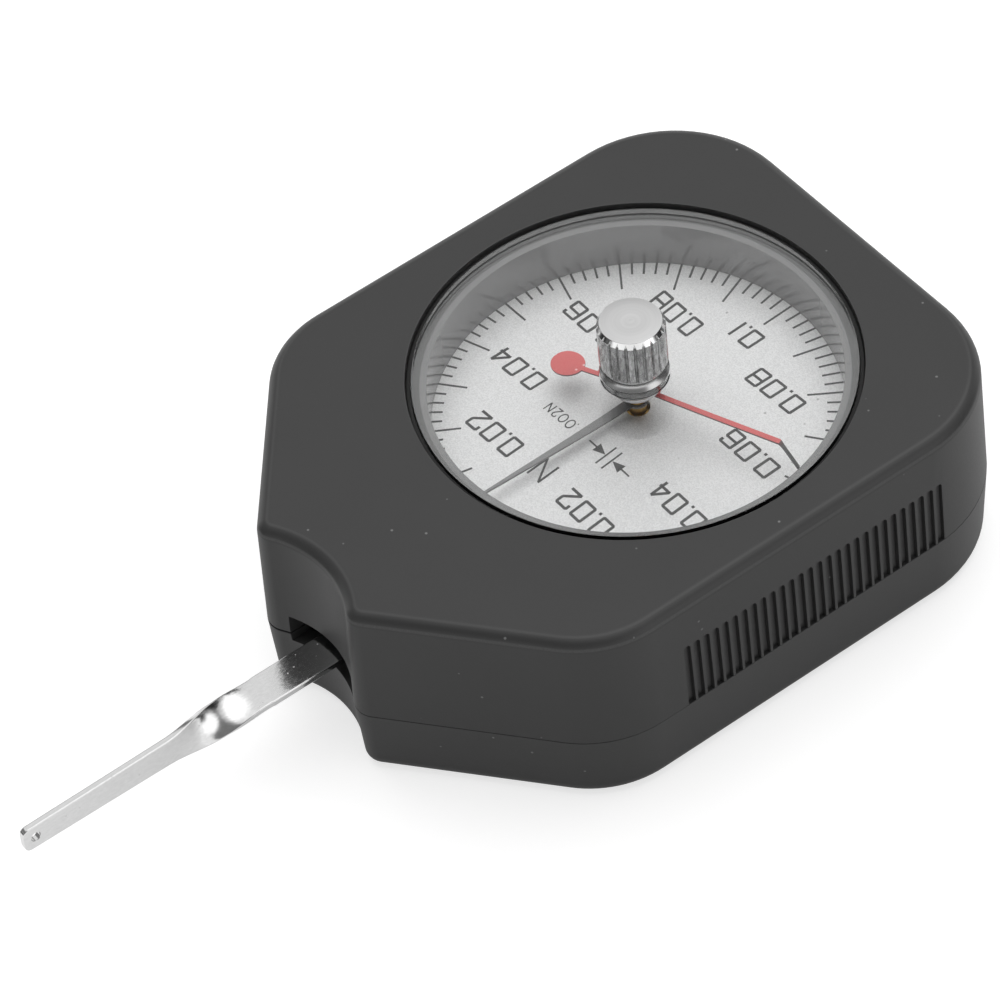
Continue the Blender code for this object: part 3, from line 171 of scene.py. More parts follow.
def blend(factor, first, second):
    """A colour between two colours."""
    return factor.node("ShaderNodeMix", {"data_type": "RGBA"}, {0: factor, 6: first, 7: second},
                       output=2)


def noise(place, scale, detail=2.0, stretch=None):
    """Cloudy noise from 0 to 1; its features are about one over the scale in metres."""
    if stretch:
        place = place.node("ShaderNodeMapping", None, {"Vector": place, "Scale": stretch})
    return place.node("ShaderNodeTexNoise", None, {"Vector": place, "Scale": scale, "Detail": detail})


def specks(place, scale, share):
    """1 in a few small round dots and 0 elsewhere."""
    dots = place.node("ShaderNodeTexVoronoi", None, {"Vector": place, "Scale": scale})
    chosen = place.node("ShaderNodeTexWhiteNoise", {"noise_dimensions": "3D"}, {"Vector": dots.output(2)})
    return between(chosen, 1 - share, 1 - share * 0.9) * (1 - between(dots, 0.12, 0.3))


# %% Greys, vectors and places
def grey(value):
    """The colour that has one value, a number or a wire, in all three channels."""
    if isinstance(value, Wire):
        return value.node("ShaderNodeCombineColor", None, {0: value, 1: value, 2: value})
    return (value, value, value, 1.0)


def dot(first, second):
    """The dot product of a wire and a vector."""
    return first.node("ShaderNodeVectorMath", {"operation": "DOT_PRODUCT"}, {0: first, 1: second}, output=1)


def xyz(x, y, z):
    """A vector from three values, of which the first or the last is a wire."""
    wire = x if isinstance(x, Wire) else z
    return wire.node("ShaderNodeCombineXYZ", None, {0: x, 1: y, 2: z})


def reach_of(place):
    """How far a place lies from the Z axis."""
    x = place.node("ShaderNodeSeparateXYZ", None, {0: place})
    y = x.output(1)
    return x.maths("SQRT", x * x + y * y)


def height_of(place):
    return place.node("ShaderNodeSeparateXYZ", None, {0: place}, output=2)


def over(place, low, high):
    """0 under the low height and 1 over the high one, both in mm."""
    return between(height_of(place), low * MM, high * MM)


# %% Start and finish a recipe
def new_recipe(name):
    """An empty material, and the place of each point as its first wire."""
    material = bpy.data.materials.new(name)
    material.use_nodes = True
    material.node_tree.nodes.clear()
    return material, Wire(material.node_tree).node("ShaderNodeTexCoord", output=3)


def finish_recipe(place, colour, roughness, height=None, depth=0.0, strength=1.0, more=None):
    """A surface from its colour and roughness; a height from 0 to 1 has its depth in mm."""
    values = {"Base Color": colour, "Roughness": roughness, **(more or {})}
    if height:
        values["Normal"] = place.node("ShaderNodeBump", None, {
            "Height": height, "Distance": depth * MM, "Strength": strength})
    surface = place.node("ShaderNodeBsdfPrincipled", None, values)
    surface.node("ShaderNodeOutputMaterial", None, {"Surface": surface})


# %% [markdown]
# ## The studio
# The picture is a white product shot: a big soft lamp high on the far side with a brighter
# middle, a white card on the right, a white table, and a darker room between them. The room's low
# sides are nearly black, which draws the dark patches on the knob's chamfer. Real boxes and cards
# could be modelled, but the polished pieces only need to mirror them, so the world paints them for
# rays that come from gloss, and plain white for the camera and for glass. Everything matt gets one
# level of light from it, so colours render about as written. The lamp's power is the level that it
# should give white paper, times a disk as wide as the lamp is far, times pi because paper is matt,
# and nearly half more because the lamp is wide.

# %% Paint the room
SOFT_BOX = Vector((-0.228, 0.18, 0.957))
BOX_MIDDLE = Vector((0.125, 0.359, 0.925))
WHITE_CARD = Vector((0.86, 0.36, 0.3))
SIDE_START, SIDE_FULL, SIDE_SHARE = 0.86, 0.95, 0.9
WORLD_LEVEL = 0.3
DARK_LEVEL, LOW_LEVEL, CARD_LEVEL, BOX_LEVEL, MIDDLE_LEVEL = 0.2, 0.8, 1.15, 0.65, 0.6

world = bpy.data.worlds.new("room")
world.use_nodes = True
world.node_tree.nodes.clear()
room = Wire(world.node_tree)
rays = room.node("ShaderNodeLightPath")
way = room.node("ShaderNodeTexCoord", output=0)


def patch(direction, start, full):
    """A round patch of light round a direction, with the angles where it starts and is full."""
    facing = dot(way, direction.normalized())
    return between(facing, cos(radians(start)), cos(radians(full)))


def under(full, end):
    """1 under an angle over the horizon, and 0 over the second angle."""
    return 1 - between(height_of(way), sin(radians(full)), sin(radians(end)))


low_light = under(10.0, 20.0)
low_or_card = low_light.maths("MAXIMUM", low_light * LOW_LEVEL, patch(WHITE_CARD, 28.0, 15.0) * CARD_LEVEL)
sideways = dot(way, level)
side_dark = between(sideways * sideways, SIDE_START ** 2, SIDE_FULL ** 2) * under(8.0, 18.0)
gloss_level = DARK_LEVEL + low_or_card + patch(SOFT_BOX, 43.0, 33.0) * BOX_LEVEL
gloss_level = (gloss_level + patch(BOX_MIDDLE, 34.0, 20.0) * MIDDLE_LEVEL) * (1 - side_dark * SIDE_SHARE)

# %% Choose what each kind of ray meets
from_lens = rays.output("Is Camera Ray")
glossy = rays.output("Is Glossy Ray")
not_scattered = rays.maths("LESS_THAN", rays.output("Diffuse Depth"), 0.5)
through = rays.output("Is Transmission Ray") * not_scattered
white = from_lens.maths("MAXIMUM", from_lens, through)
plain = WORLD_LEVEL + (gloss_level - WORLD_LEVEL) * glossy
background = room.node("ShaderNodeBackground", None, {
    "Color": grey(1.0), "Strength": plain + (1 - plain) * white})
room.node("ShaderNodeOutputWorld", None, {"Surface": background})
bpy.context.scene.world = world
print("world level", WORLD_LEVEL)

# %% Hang the soft lamp
LAMP_SIZE = 0.8
LAMP_REACH = 0.6
LAMP_LEVEL = 0.7
MATT_AND_WIDE = 4.6
lamp = link(bpy.data.objects.new("soft_lamp", bpy.data.lights.new("soft_lamp", "AREA")))
lamp.data.shape = "DISK"
lamp.data.size = LAMP_SIZE
lamp.data.energy = LAMP_LEVEL * pi * LAMP_REACH ** 2 * MATT_AND_WIDE
lamp.location = SOFT_BOX.normalized() * LAMP_REACH
lamp.rotation_mode = "QUATERNION"
lamp.rotation_quaternion = SOFT_BOX.to_track_quat("Z", "Y")
lamp.data.cycles.use_multiple_importance_sampling = False
lamp.visible_glossy = False
lamp.visible_transmission = False
print("lamp (W)", round(lamp.data.energy, 2))

# %% Lay the table
TABLE_SIDE = 6.0
PAPER, PAPER_DARK = 0.5, 0.03
SEEN_LEVEL, MIRRORED_LEVEL, FAR_MORE = 0.7, 0.32, 0.3
# For camera rays the table glows to a white backdrop. For gloss rays it carries painted light and painted
# dark: a glow of its own that rises further out, and a paper and glow that go dark far to the sides.
# Polished pieces mirror both.
table_white, place = new_recipe("table_white")
look = place.node("ShaderNodeLightPath")
polished = look.output("Is Glossy Ray") * look.maths("LESS_THAN", look.output("Diffuse Depth"), 0.5)
from_middle = place.node("ShaderNodeVectorMath", {"operation": "LENGTH"}, {0: place}, output=1)
far_white = between(from_middle, 0.05, 0.13) * FAR_MORE
across = dot(place, level)
across = across * across / (from_middle * from_middle)
far_dark = between(across, SIDE_START ** 2, SIDE_FULL ** 2) * between(from_middle, 0.1, 0.2) * polished
paper = place.node("ShaderNodeBsdfDiffuse", None, {"Color": blend(far_dark, grey(PAPER), grey(PAPER_DARK))})
level_seen = look * SEEN_LEVEL + polished * (MIRRORED_LEVEL + far_white) * (1 - far_dark)
glow = place.node("ShaderNodeEmission", None, {"Color": grey(1.0), "Strength": level_seen})
sheet = place.node("ShaderNodeAddShader", None, {0: paper, 1: glow})
place.node("ShaderNodeOutputMaterial", None, {"Surface": sheet})
bm = bmesh.new()
bmesh.ops.create_grid(bm, x_segments=1, y_segments=1, size=TABLE_SIDE / 2)
mesh = bpy.data.meshes.new("table")
bm.to_mesh(mesh)
bm.free()
mesh.materials.append(table_white)
link(bpy.data.objects.new("table", mesh))
print("table (m)", TABLE_SIDE)

# %% [markdown]
# ## Recipes for the case, the cover and the dial
# The case is a dyed plastic with a fine matt grain, so its recipe is a dark base, noise in the
# roughness, a shallow bump and a few pale specks of dust, with two faint painted highlights along
# its rounded top edge. The cover is clear plastic: glass with a low index, which lets the lamp through
# to the dial by its shadow rays. The dial is a satin silver paint whose fine sparkle is in its
# colour and its bump. The ring round it is a smooth grey that mirrors the graduations.

# %% Mix the case plastic
CASE_GREY = 0.037
case_plastic, place = new_recipe("case_plastic")
grain = noise(place, 5200.0, 3.0)
cloud = noise(place, 120.0, 2.0)
dust = specks(place, 1500.0, 0.006)
# Painted highlights: two lighter bands on the rounded top edge. One is near its crest and the window's edge,
# and one is low on the fillet.
crest_highlight = over(place, 25.16, 25.24) * (1 - over(place, 25.26, 25.295))
brow_sheen = over(place, 23.95, 24.15) * (1 - over(place, 24.3, 24.5))
painted_edge_sheen = crest_highlight * 0.016 + brow_sheen * (0.012 + grain * 0.036)
shade = CASE_GREY * (0.86 + grain * 0.16 + cloud * 0.12) + dust * 0.16 + painted_edge_sheen
finish_recipe(place, grey(shade), 0.38 + grain * 0.12 + dust * 0.2, grain, 0.02, 0.4)

# %% Mix the clear plastic
clear_plastic, place = new_recipe("clear_plastic")
glass = place.node("ShaderNodeBsdfPrincipled", None, {
    "Base Color": (0.985, 0.99, 0.99, 1.0), "Roughness": 0.0, "IOR": 1.49,
    "Transmission Weight": 1.0})
let_by = place.node("ShaderNodeBsdfTransparent", None, {"Color": (0.97, 0.97, 0.97, 1.0)})
shadow_ray = place.node("ShaderNodeLightPath", output=1)
both = place.node("ShaderNodeMixShader", None, {0: shadow_ray, 1: glass, 2: let_by})
place.node("ShaderNodeOutputMaterial", None, {"Surface": both})

# %% Mix the soft black of the seal
seal_rubber, place = new_recipe("seal_rubber")
grain = noise(place, 3000.0)
finish_recipe(place, blend(grain, grey(0.008), grey(0.016)), 0.6 + grain * 0.15, grain, 0.03, 0.5)

# %% Mix the dial's silver and its print
dial_silver, place = new_recipe("dial_silver")
sparkle = noise(place, 6200.0, 3.0)
dirt = specks(place, 1500.0, 0.012)
silver = blend(dirt, blend(between(sparkle, 0.3, 0.7), grey(0.69), grey(0.85)), grey(0.42))
finish_recipe(place, silver, 0.5 + sparkle * 0.1, sparkle, 0.01, 0.4, {"Metallic": 0.25})

ring_satin, place = new_recipe("ring_satin")
# Painted light and shade: the wall below 23 mm is a touch lighter than the top, and the top outside 23.8 mm
# is painted at half tone as a dark band.
on_wall = 1 - over(place, 22.98, 23.02)
painted_dark_rim = between(reach_of(place), 23.8 * MM, 23.9 * MM)
grain = noise(place, 700.0, 2.0)
tone = (0.2 + on_wall * 0.015) * (1 - painted_dark_rim * 0.5) * (0.97 + grain * 0.06)
finish_recipe(place, grey(tone), 0.15 + grain * 0.04, more={"Metallic": 0.5})

dial_ink, place = new_recipe("dial_ink")
grain = noise(place, 9000.0)
finish_recipe(place, blend(grain, grey(0.02), grey(0.04)), 0.55 + grain * 0.1,
              more={"Specular IOR Level": 0.3})

# %% [markdown]
# ## Recipes for the metals and the lacquers
# Every metal here is a Principled surface with metallic at one; what tells them apart is the
# grain. Rolled steel has fine lines along the strip, turned pieces have rings round their axis,
# and stamped brass is nearly even. The lacquers are coloured paint with a soft gloss.

# %% A grain of rings, and a plain metal
def rings_round(place, scale):
    """Fine rings round the Z axis, as a lathe leaves them."""
    return noise(xyz(reach_of(place), 0.0, height_of(place)), scale, 3.0)


def metal(name, dark, light, roughness, spread, grain_scale, depth, stretch=(1.0, 1.0, 1.0)):
    """A metal between two colours; the grain is drawn out where the stretch is small."""
    material, place = new_recipe(name)
    grain = noise(place, grain_scale, 3.0, stretch)
    cloud = noise(place, 260.0)
    finish_recipe(place, blend(grain, (*dark, 1.0), (*light, 1.0)),
                  roughness + grain * spread + cloud * spread * 0.5, grain, depth, 0.6, {"Metallic": 1.0})
    return material


# %% Mix the metals
turned_steel = metal("turned_steel", (0.5, 0.5, 0.51), (0.7, 0.7, 0.71), 0.2, 0.1, 3000.0, 0.004,
                     (0.3, 0.3, 1.6))
screw_steel = metal("screw_plated", (0.42, 0.42, 0.44), (0.56, 0.56, 0.58), 0.3, 0.12, 2500.0, 0.01)
stamped_brass = metal("stamped_brass", (0.62, 0.38, 0.12), (0.76, 0.5, 0.18), 0.24, 0.12, 1500.0, 0.006)
tempered_strip = metal("tempered_strip", (0.28, 0.31, 0.4), (0.4, 0.43, 0.5), 0.25, 0.1, 2500.0, 0.004)
bright_plate = metal("bright_plate", (0.14, 0.14, 0.14), (0.24, 0.24, 0.24), 0.14, 0.08, 2600.0, 0.002,
                     (1.0, 1.0, 0.2))

strip_steel, place = new_recipe("strip_steel")
grain = noise(place, 3600.0, 3.0, (1.0, 0.4, 1.0))
dust = specks(place, 2400.0, 0.05)
steel = blend(dust, blend(grain, grey(0.7), grey(0.86)), grey(0.7))
finish_recipe(place, steel, 0.1 + grain * 0.09 + dust * 0.3, grain, 0.014, 0.6, {"Metallic": 1 - dust * 0.6})

# %% Mix the knob's plating
knob_plate, place = new_recipe("knob_plate")
rings = rings_round(place, 2600.0)
on_top = over(place, 32.55, 32.58)
on_crown = over(place, 31.86, 31.93)
on_knurl = over(place, 26.55, 26.62)
plate_grain = noise(place, 3400.0, 4.0, (1.0, 1.0, 0.3))
# One plating with a tone set per zone. The chamfer's 0.95 is a painted highlight. The knurl and neck, at
# 0.34 to 0.56 against the face's 0.68 to 0.84, are painted shade.
side_tone = blend(between(plate_grain, 0.35, 0.65) * on_knurl, grey(0.56), grey(0.34))
crown_tone = blend(on_top, grey(0.95), blend(rings, grey(0.68), grey(0.84)))
side_gloss = 0.1 + plate_grain * on_knurl * 0.1 + (1 - on_knurl) * 0.14
relief = rings * on_top + plate_grain * on_knurl * (1 - on_crown)
finish_recipe(place, blend(on_crown, side_tone, crown_tone), side_gloss + on_top * (0.12 + rings * 0.12),
              relief, 0.008, 0.5, {"Metallic": 1.0})

# %% Mix the lacquers
pointer_grey, place = new_recipe("pointer_lacquer")
grain = noise(place, 5000.0)
finish_recipe(place, blend(grain, grey(0.17), grey(0.21)), 0.36 + grain * 0.1, grain, 0.004, 0.3)

hold_red, place = new_recipe("hold_lacquer")
grain = noise(place, 3500.0)
dust = specks(place, 1500.0, 0.03)
red = blend(dust, blend(grain, (0.53, 0.082, 0.08, 1.0), (0.6, 0.105, 0.105, 1.0)), (0.8, 0.5, 0.5, 1.0))
tip_ink = place.node("ShaderNodeAttribute", {"attribute_name": "tip"}, output=2)
# Painted shade: everything under the strip's top face, its stamped edges and sides, is dark red.
red = blend(over(place, 20.84, 20.89), (0.1, 0.02, 0.02, 1.0), red)
finish_recipe(place, blend(tip_ink, red, grey(0.03)), 0.34 + grain * 0.12, grain, 0.005, 0.4)

# %% [markdown]
# ## Mesh helpers
# Nearly every piece is either turned on a lathe, lofted through rings, or cut from sheet, so
# three builders make them all. Each gives closed shells whose faces point outwards. Real edges
# are never perfectly sharp, so profiles are rounded before they are turned, and sheet pieces get
# a small bevel from Blender's own curve fill.

# %% Round the corners of a profile
def eased(points, radius, steps=3, closed=True):
    """A line of points with each corner replaced by a small curve."""
    result = []
    count = len(points)
    for k, point in enumerate(points):
        corner = Vector(point)
        if not closed and k in (0, count - 1):
            result.append(tuple(corner))
            continue
        before = Vector(points[k - 1]) - corner
        after = Vector(points[(k + 1) % count]) - corner
        reach = min(radius, before.length * 0.45, after.length * 0.45)
        first = corner + before.normalized() * reach
        last = corner + after.normalized() * reach
        for step in range(steps + 1):
            t = step / steps
            result.append(tuple(first * (1 - t) ** 2 + corner * 2 * t * (1 - t) + last * t ** 2))
    return result


# %% Lofts
def skin(bm, rings, close):
    """Quads between rings of equal count, joined round into a loop if asked."""
    loops = [[bm.verts.new(point) for point in ring] for ring in rings]
    count = len(loops[0])
    for low, high in zip(loops, loops[1:] + loops[:1] if close else loops[1:]):
        for k in range(count):
            after = (k + 1) % count
            bm.faces.new((low[k], low[after], high[after], high[k]))
    return loops


def add_loft(bm, rings, close=False):
    """A skin over rings, capped at both ends or joined round into a loop."""
    loops = skin(bm, rings, close)
    if not close:
        bm.faces.new(list(reversed(loops[0])))
        bm.faces.new(loops[-1])


def lofted(rings):
    bm = bmesh.new()
    add_loft(bm, rings)
    return bm


# %% Turned shells
def arc(centre, radius, start, end, steps):
    angles = [start + (end - start) * k / steps for k in range(steps + 1)]
    return [(centre[0] + radius * cos(a), centre[1] + radius * sin(a)) for a in angles]


def circle(radius, sides, centre=(0.0, 0.0)):
    return arc(centre, radius, 0.0, tau, sides)[:-1]


def add_turned(bm, profile, sides, centre=(0.0, 0.0), ring=True):
    """A shell of (radius, height) points turned about Z; a solid's first and last radius is 0."""
    inner = profile if ring else profile[1:-1]
    loops = skin(bm, [[(*point, z) for point in circle(radius, sides, centre)] for radius, z in inner], ring)
    if not ring:
        for (_, z), end in ((profile[0], loops[0]), (profile[-1], loops[-1])):
            pole = bm.verts.new((*centre, z))
            for k in range(sides):
                bm.faces.new((end[k], end[(k + 1) % sides], pole))


def turned(profile, sides, centre=(0.0, 0.0), ring=True):
    bm = bmesh.new()
    add_turned(bm, profile, sides, centre, ring)
    return bm


def outward(bm):
    """Joins points that lie together and turns every face outwards."""
    bmesh.ops.remove_doubles(bm, verts=bm.verts, dist=0.0005 * MM)
    bmesh.ops.recalc_face_normals(bm, faces=bm.faces)


# %% Sheet pieces, from a filled curve with a bevelled edge
def evaluated_mesh(made):
    """A new mesh of an object as its modifiers or its curve give it."""
    graph = bpy.context.evaluated_depsgraph_get()
    return bpy.data.meshes.new_from_object(made.evaluated_get(graph))


def throw_away(*objects):
    for item in objects:
        bpy.data.objects.remove(item, do_unlink=True)


def sheet_mesh(name, outlines, low, high, edge):
    """A plate between two heights; the first outline is its edge and the others are holes."""
    curve = bpy.data.curves.new(name, "CURVE")
    curve.dimensions = "2D"
    curve.fill_mode = "BOTH"
    curve.extrude = (high - low) / 2 - edge
    curve.bevel_depth = edge
    curve.bevel_resolution = 1
    curve.offset = -edge
    for outline in outlines:
        spline = curve.splines.new("POLY")
        spline.points.add(len(outline) - 1)
        for point, (x, y) in zip(spline.points, outline):
            point.co = (x, y, 0.0, 1.0)
        spline.use_cyclic_u = True
    guide = link(bpy.data.objects.new(name, curve))
    bpy.context.view_layer.update()
    mesh = evaluated_mesh(guide)
    throw_away(guide)
    bpy.data.curves.remove(curve)
    bm = bmesh.new()
    bm.from_mesh(mesh)
    bpy.data.meshes.remove(mesh)
    bmesh.ops.translate(bm, verts=bm.verts, vec=(0.0, 0.0, (low + high) / 2))
    outward(bm)
    return bm


# %% Finish a piece
def as_object(name, bm, material=None, join=True):
    """An object from a mesh in the making, whose points are joined unless told otherwise."""
    if join:
        outward(bm)
    mesh = bpy.data.meshes.new(name)
    bm.to_mesh(mesh)
    bm.free()
    if material:
        mesh.materials.append(material)
    return link(bpy.data.objects.new(name, mesh))


def apply_modifiers(made, even=False, sharp=30.0):
    """Bakes the modifiers, then shades the piece smooth between its real edges."""
    def bake():
        mesh = evaluated_mesh(made)
        made.modifiers.clear()
        made.data = mesh

    if made.modifiers:
        bake()
    made.data.shade_smooth()
    made.data.set_sharp_from_angle(angle=radians(sharp))
    if even:
        weigh = made.modifiers.new("even", "WEIGHTED_NORMAL")
        weigh.keep_sharp = True
        weigh.weight = 100
        bake()
    made.data.name = made.name


# %% Hand a piece to its body
def hand_over(made, body, slot, *nodes):
    """The piece rides on its body and stands for its CAD nodes."""
    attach(made, body)
    if nodes:
        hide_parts(*nodes)
    made.data.calc_loop_triangles()
    print(made.name, len(made.data.loop_triangles), "triangles")


def keep(name, bm, material, body, slot, *nodes, sharp=30.0):
    made = as_object(name, bm, material)
    apply_modifiers(made, sharp=sharp)
    hand_over(made, body, slot, *nodes)


def keep_ring(name, node, inner, painted_dark_rim, low, high, edge, sides, material, body, slot, steps=3, sharp=30.0):
    """A flat ring from its radii and heights in mm, with its corners rounded."""
    section = in_mm([(inner, high), (painted_dark_rim, high), (painted_dark_rim, low), (inner, low)])
    keep(name, turned(eased(section, edge * MM, steps), sides), material, body, slot, node, sharp=sharp)


# %% [markdown]
# ## The plan of the case
# Seen from above, the case is a rounded shape with two straight flanks that run in to a scooped
# nose. Every edge is an arc or a straight line, so the plan is worked out from a few radii and can
# be drawn in by any inset. That makes the draft of the walls and the rounded top edge simple:
# each is a stack of the same plan at growing insets.

# %% Sizes of the case
HALF_WIDTH = 31.0 * MM
REAR_Y = 32.5 * MM
REAR_RADIUS = 15.5 * MM
SHOULDER_Y = -27.7 * MM
SHOULDER_RADIUS = 13.0 * MM
NOSE_Y = -45.3 * MM
NOSE_HALF_WIDTH = 9.55 * MM
LOBE_RADIUS = 2.6 * MM
SCOOP_RADIUS = 13.0 * MM
SCOOP_DEPTH = 1.85 * MM
CASE_TOP = 25.3 * MM
PART_LINE = 9.45 * MM
WALL = 2.2 * MM
UPPER_DRAFT = 0.4 * MM
LOWER_DRAFT = 0.45 * MM
TOP_FILLET = 1.6 * MM
BOTTOM_FILLET = 1.9 * MM
TOP_INSIDE = 22.9 * MM
BACK_INSIDE = 2.2 * MM
WINDOW_RADIUS = 25.4 * MM
SLOT_HALF_WIDTH = 5.8 * MM
SLOT_LOW = 8.2 * MM
SLOT_HIGH = 12.2 * MM
SLOT_INNER_Y = -37.0 * MM
SCREW_REAR = (21.6 * MM, 23.6 * MM)
SCREW_FRONT = (22.0 * MM, -25.0 * MM)

# %% Draw the plan at an inset
FLANK = (Vector((HALF_WIDTH, SHOULDER_Y)) - Vector((NOSE_HALF_WIDTH, NOSE_Y))).normalized()
FLANK_OUT = Vector((FLANK.y, -FLANK.x))
FLANK_OFFSET = FLANK_OUT.dot(Vector((NOSE_HALF_WIDTH, NOSE_Y)))
FLANK_ANGLE = atan2(FLANK_OUT.y, FLANK_OUT.x)
SCOOP_CENTRE = Vector((0.0, NOSE_Y + SCOOP_DEPTH - SCOOP_RADIUS))
SHOULDER_X = HALF_WIDTH - SHOULDER_RADIUS
SHOULDER_CENTRE = (SHOULDER_X, (FLANK_OFFSET - SHOULDER_RADIUS - FLANK_OUT.x * SHOULDER_X) / FLANK_OUT.y)
REAR_CENTRE = (HALF_WIDTH - REAR_RADIUS, REAR_Y - REAR_RADIUS)


def case_plan(inset, steps=(12, 12, 14, 18)):
    """The case's outline, drawn in by an inset, anticlockwise from the middle of the scoop."""
    lobe = max(LOBE_RADIUS - inset, 0.2 * MM)
    scoop = SCOOP_RADIUS + inset
    along = FLANK_OFFSET - inset - lobe - FLANK_OUT.dot(SCOOP_CENTRE)
    across = sqrt((scoop + lobe) ** 2 - along ** 2)
    centre = SCOOP_CENTRE + FLANK_OUT * along + FLANK * across
    to_lobe = centre - SCOOP_CENTRE
    lobe_angle = atan2(to_lobe.y, to_lobe.x)
    half = arc(SCOOP_CENTRE, scoop, pi / 2, lobe_angle, steps[0])[:-1]
    half += arc(centre, lobe, lobe_angle - pi, FLANK_ANGLE, steps[1])
    half += arc(SHOULDER_CENTRE, SHOULDER_RADIUS - inset, FLANK_ANGLE, 0.0, steps[2])
    half += arc(REAR_CENTRE, REAR_RADIUS - inset, 0.0, pi / 2, steps[3])
    return half + [(-x, y) for x, y in reversed(half[1:])]


def plan_ring(inset, z):
    return [(x, y, z) for x, y in case_plan(inset)]


print("points round the case", len(case_plan(0.0)))

# %% [markdown]
# ## The grips, made with Geometry Nodes
# Each side wall has a row of 28 upright grooves. They repeat on a line, which is what Geometry
# Nodes are good at: a Mesh Line gives the places and one groove cutter is set on each. The
# cutters are then taken out of the upper shell with a Boolean, as the mould's ribs would leave them.

# %% Node trees with named inputs
def new_tree(name, inputs):
    """A Geometry Nodes tree with named inputs; gives the tree and a wire for each input."""
    group = bpy.data.node_groups.new(name, "GeometryNodeTree")
    for label, kind in inputs.items():
        group.interface.new_socket(label, in_out="INPUT", socket_type="NodeSocket" + kind)
    group.interface.new_socket("Geometry", in_out="OUTPUT", socket_type="NodeSocketGeometry")
    start = Wire(group).node("NodeGroupInput")
    return group, {label: start.output(k) for k, label in enumerate(inputs)}


def end_tree(group, shape, material):
    """Every tree ends in real geometry with its material set."""
    real = shape.node("GeometryNodeRealizeInstances", None, {0: shape})
    painted = shape.node("GeometryNodeSetMaterial", None, {"Geometry": real, "Material": material})
    shape.node("NodeGroupOutput", None, {0: painted})


# %% Copies on points, and the finished mesh of a tree
def copies(shape, points, more=None):
    """A copy of a shape on each point."""
    values = {"Points": points, "Instance": shape, **(more or {})}
    return shape.node("GeometryNodeInstanceOnPoints", None, values)


def shape_of(piece):
    """The geometry of an object that is given to a tree."""
    return piece.node("GeometryNodeObjectInfo", {"transform_space": "ORIGINAL"}, {"Object": piece}, output=4)


def grown(name, group, values):
    """A plain mesh object from a tree, with the modifier's inputs set by their identifiers."""
    made = link(bpy.data.objects.new(name, bpy.data.meshes.new(name)))
    modifier = made.modifiers.new(name, "NODES")
    modifier.node_group = group
    for item in group.interface.items_tree:
        if item.item_type == "SOCKET" and item.in_out == "INPUT" and item.name in values:
            modifier[item.identifier] = values[item.name]
    mesh = evaluated_mesh(made)
    made.modifiers.clear()
    made.data = mesh
    return made


# %% A row of copies on a line
row_tree, given = new_tree("row_on_a_line", {
    "Piece": "Object", "Count": "Int", "First": "Vector", "Step": "Vector", "Material": "Material"})
line = given["Piece"].node("GeometryNodeMeshLine", {"mode": "OFFSET"}, {
    "Count": given["Count"], "Start Location": given["First"], "Offset": given["Step"]})
end_tree(row_tree, copies(shape_of(given["Piece"]), line), given["Material"])

# %% One groove's cutter
GRIP_COUNT = 28
GRIP_PITCH = 1.302 * MM
GRIP_MOUTH = 0.98 * MM
GRIP_FLOOR = 0.78 * MM
GRIP_DEPTH = 0.48 * MM
GRIP_TOP = 18.2 * MM
GRIP_ARCH = 0.42 * MM
SIDE_NAMES = {1: "right", -1: "left"}


def groove_cutter(side):
    """A channel that is open at the part line and closes in a small arch at its top."""
    wall = side * HALF_WIDTH

    def ring(z, depth, mouth, floor):
        return [(wall + side * MM, -mouth / 2, z), (wall, -mouth / 2, z),
                (wall - side * depth, -floor / 2, z), (wall - side * depth, floor / 2, z),
                (wall, mouth / 2, z), (wall + side * MM, mouth / 2, z)]

    draft = UPPER_DRAFT * (GRIP_TOP - PART_LINE) / (CASE_TOP - PART_LINE)
    rings = [ring(PART_LINE - MM, GRIP_DEPTH, GRIP_MOUTH, GRIP_FLOOR),
             ring(PART_LINE, GRIP_DEPTH, GRIP_MOUTH, GRIP_FLOOR),
             ring(GRIP_TOP, GRIP_DEPTH + draft, GRIP_MOUTH, GRIP_FLOOR)]
    for share in (0.35, 0.65, 0.85, 1.0):
        narrow = sqrt(1 - share ** 2) * 0.85 + 0.05
        rings.append(ring(GRIP_TOP + GRIP_ARCH * share, (GRIP_DEPTH + draft) * (1 - share * 0.75),
                          GRIP_MOUTH * narrow, GRIP_FLOOR * narrow))
    return as_object(f"groove_cutter_{SIDE_NAMES[side]}", lofted(rings))


# %% Set both rows of cutters
grip_rows = []
first = -GRIP_PITCH * (GRIP_COUNT - 1) / 2
for side, side_name in SIDE_NAMES.items():
    cutter = groove_cutter(side)
    grip_rows.append(grown(f"grip_row_{side_name}", row_tree, {
        "Piece": cutter, "Count": GRIP_COUNT, "First": (0.0, first, 0.0), "Step": (0.0, GRIP_PITCH, 0.0),
        "Material": case_plastic}))
    throw_away(cutter)
print("grip grooves", GRIP_COUNT * 2)

# %% [markdown]
# ## The two shells of the case
# The upper and lower shells are moulded separately and meet at the part line. Each is a stack of
# plans that is closed top and bottom, hollowed by a smaller stack, then cut for its openings. The
# seam is open by a hair at the nose's left side, where the photo shows it, and nearly closed
# elsewhere.

# %% The seam and the rounded edges
SEAM_NOSE = 0.2 * MM
SEAM_SIDE = 0.02 * MM
SEAM_EDGE = 0.06 * MM


def seam_half(x, y):
    """Half of the seam's width: open at the nose's left and nearly closed elsewhere."""
    behind = (y - NOSE_Y - 2 * MM) / (6 * MM)
    share = min(max(behind, (x - 3 * MM) / (5 * MM), 0.0), 1.0)
    share = share * share * (3 - 2 * share)
    return (SEAM_NOSE + (SEAM_SIDE - SEAM_NOSE) * share) / 2


def seam_ring(inset, lift):
    return [(x, y, PART_LINE + copysign(seam_half(x, y), lift) + lift) for x, y in case_plan(inset)]


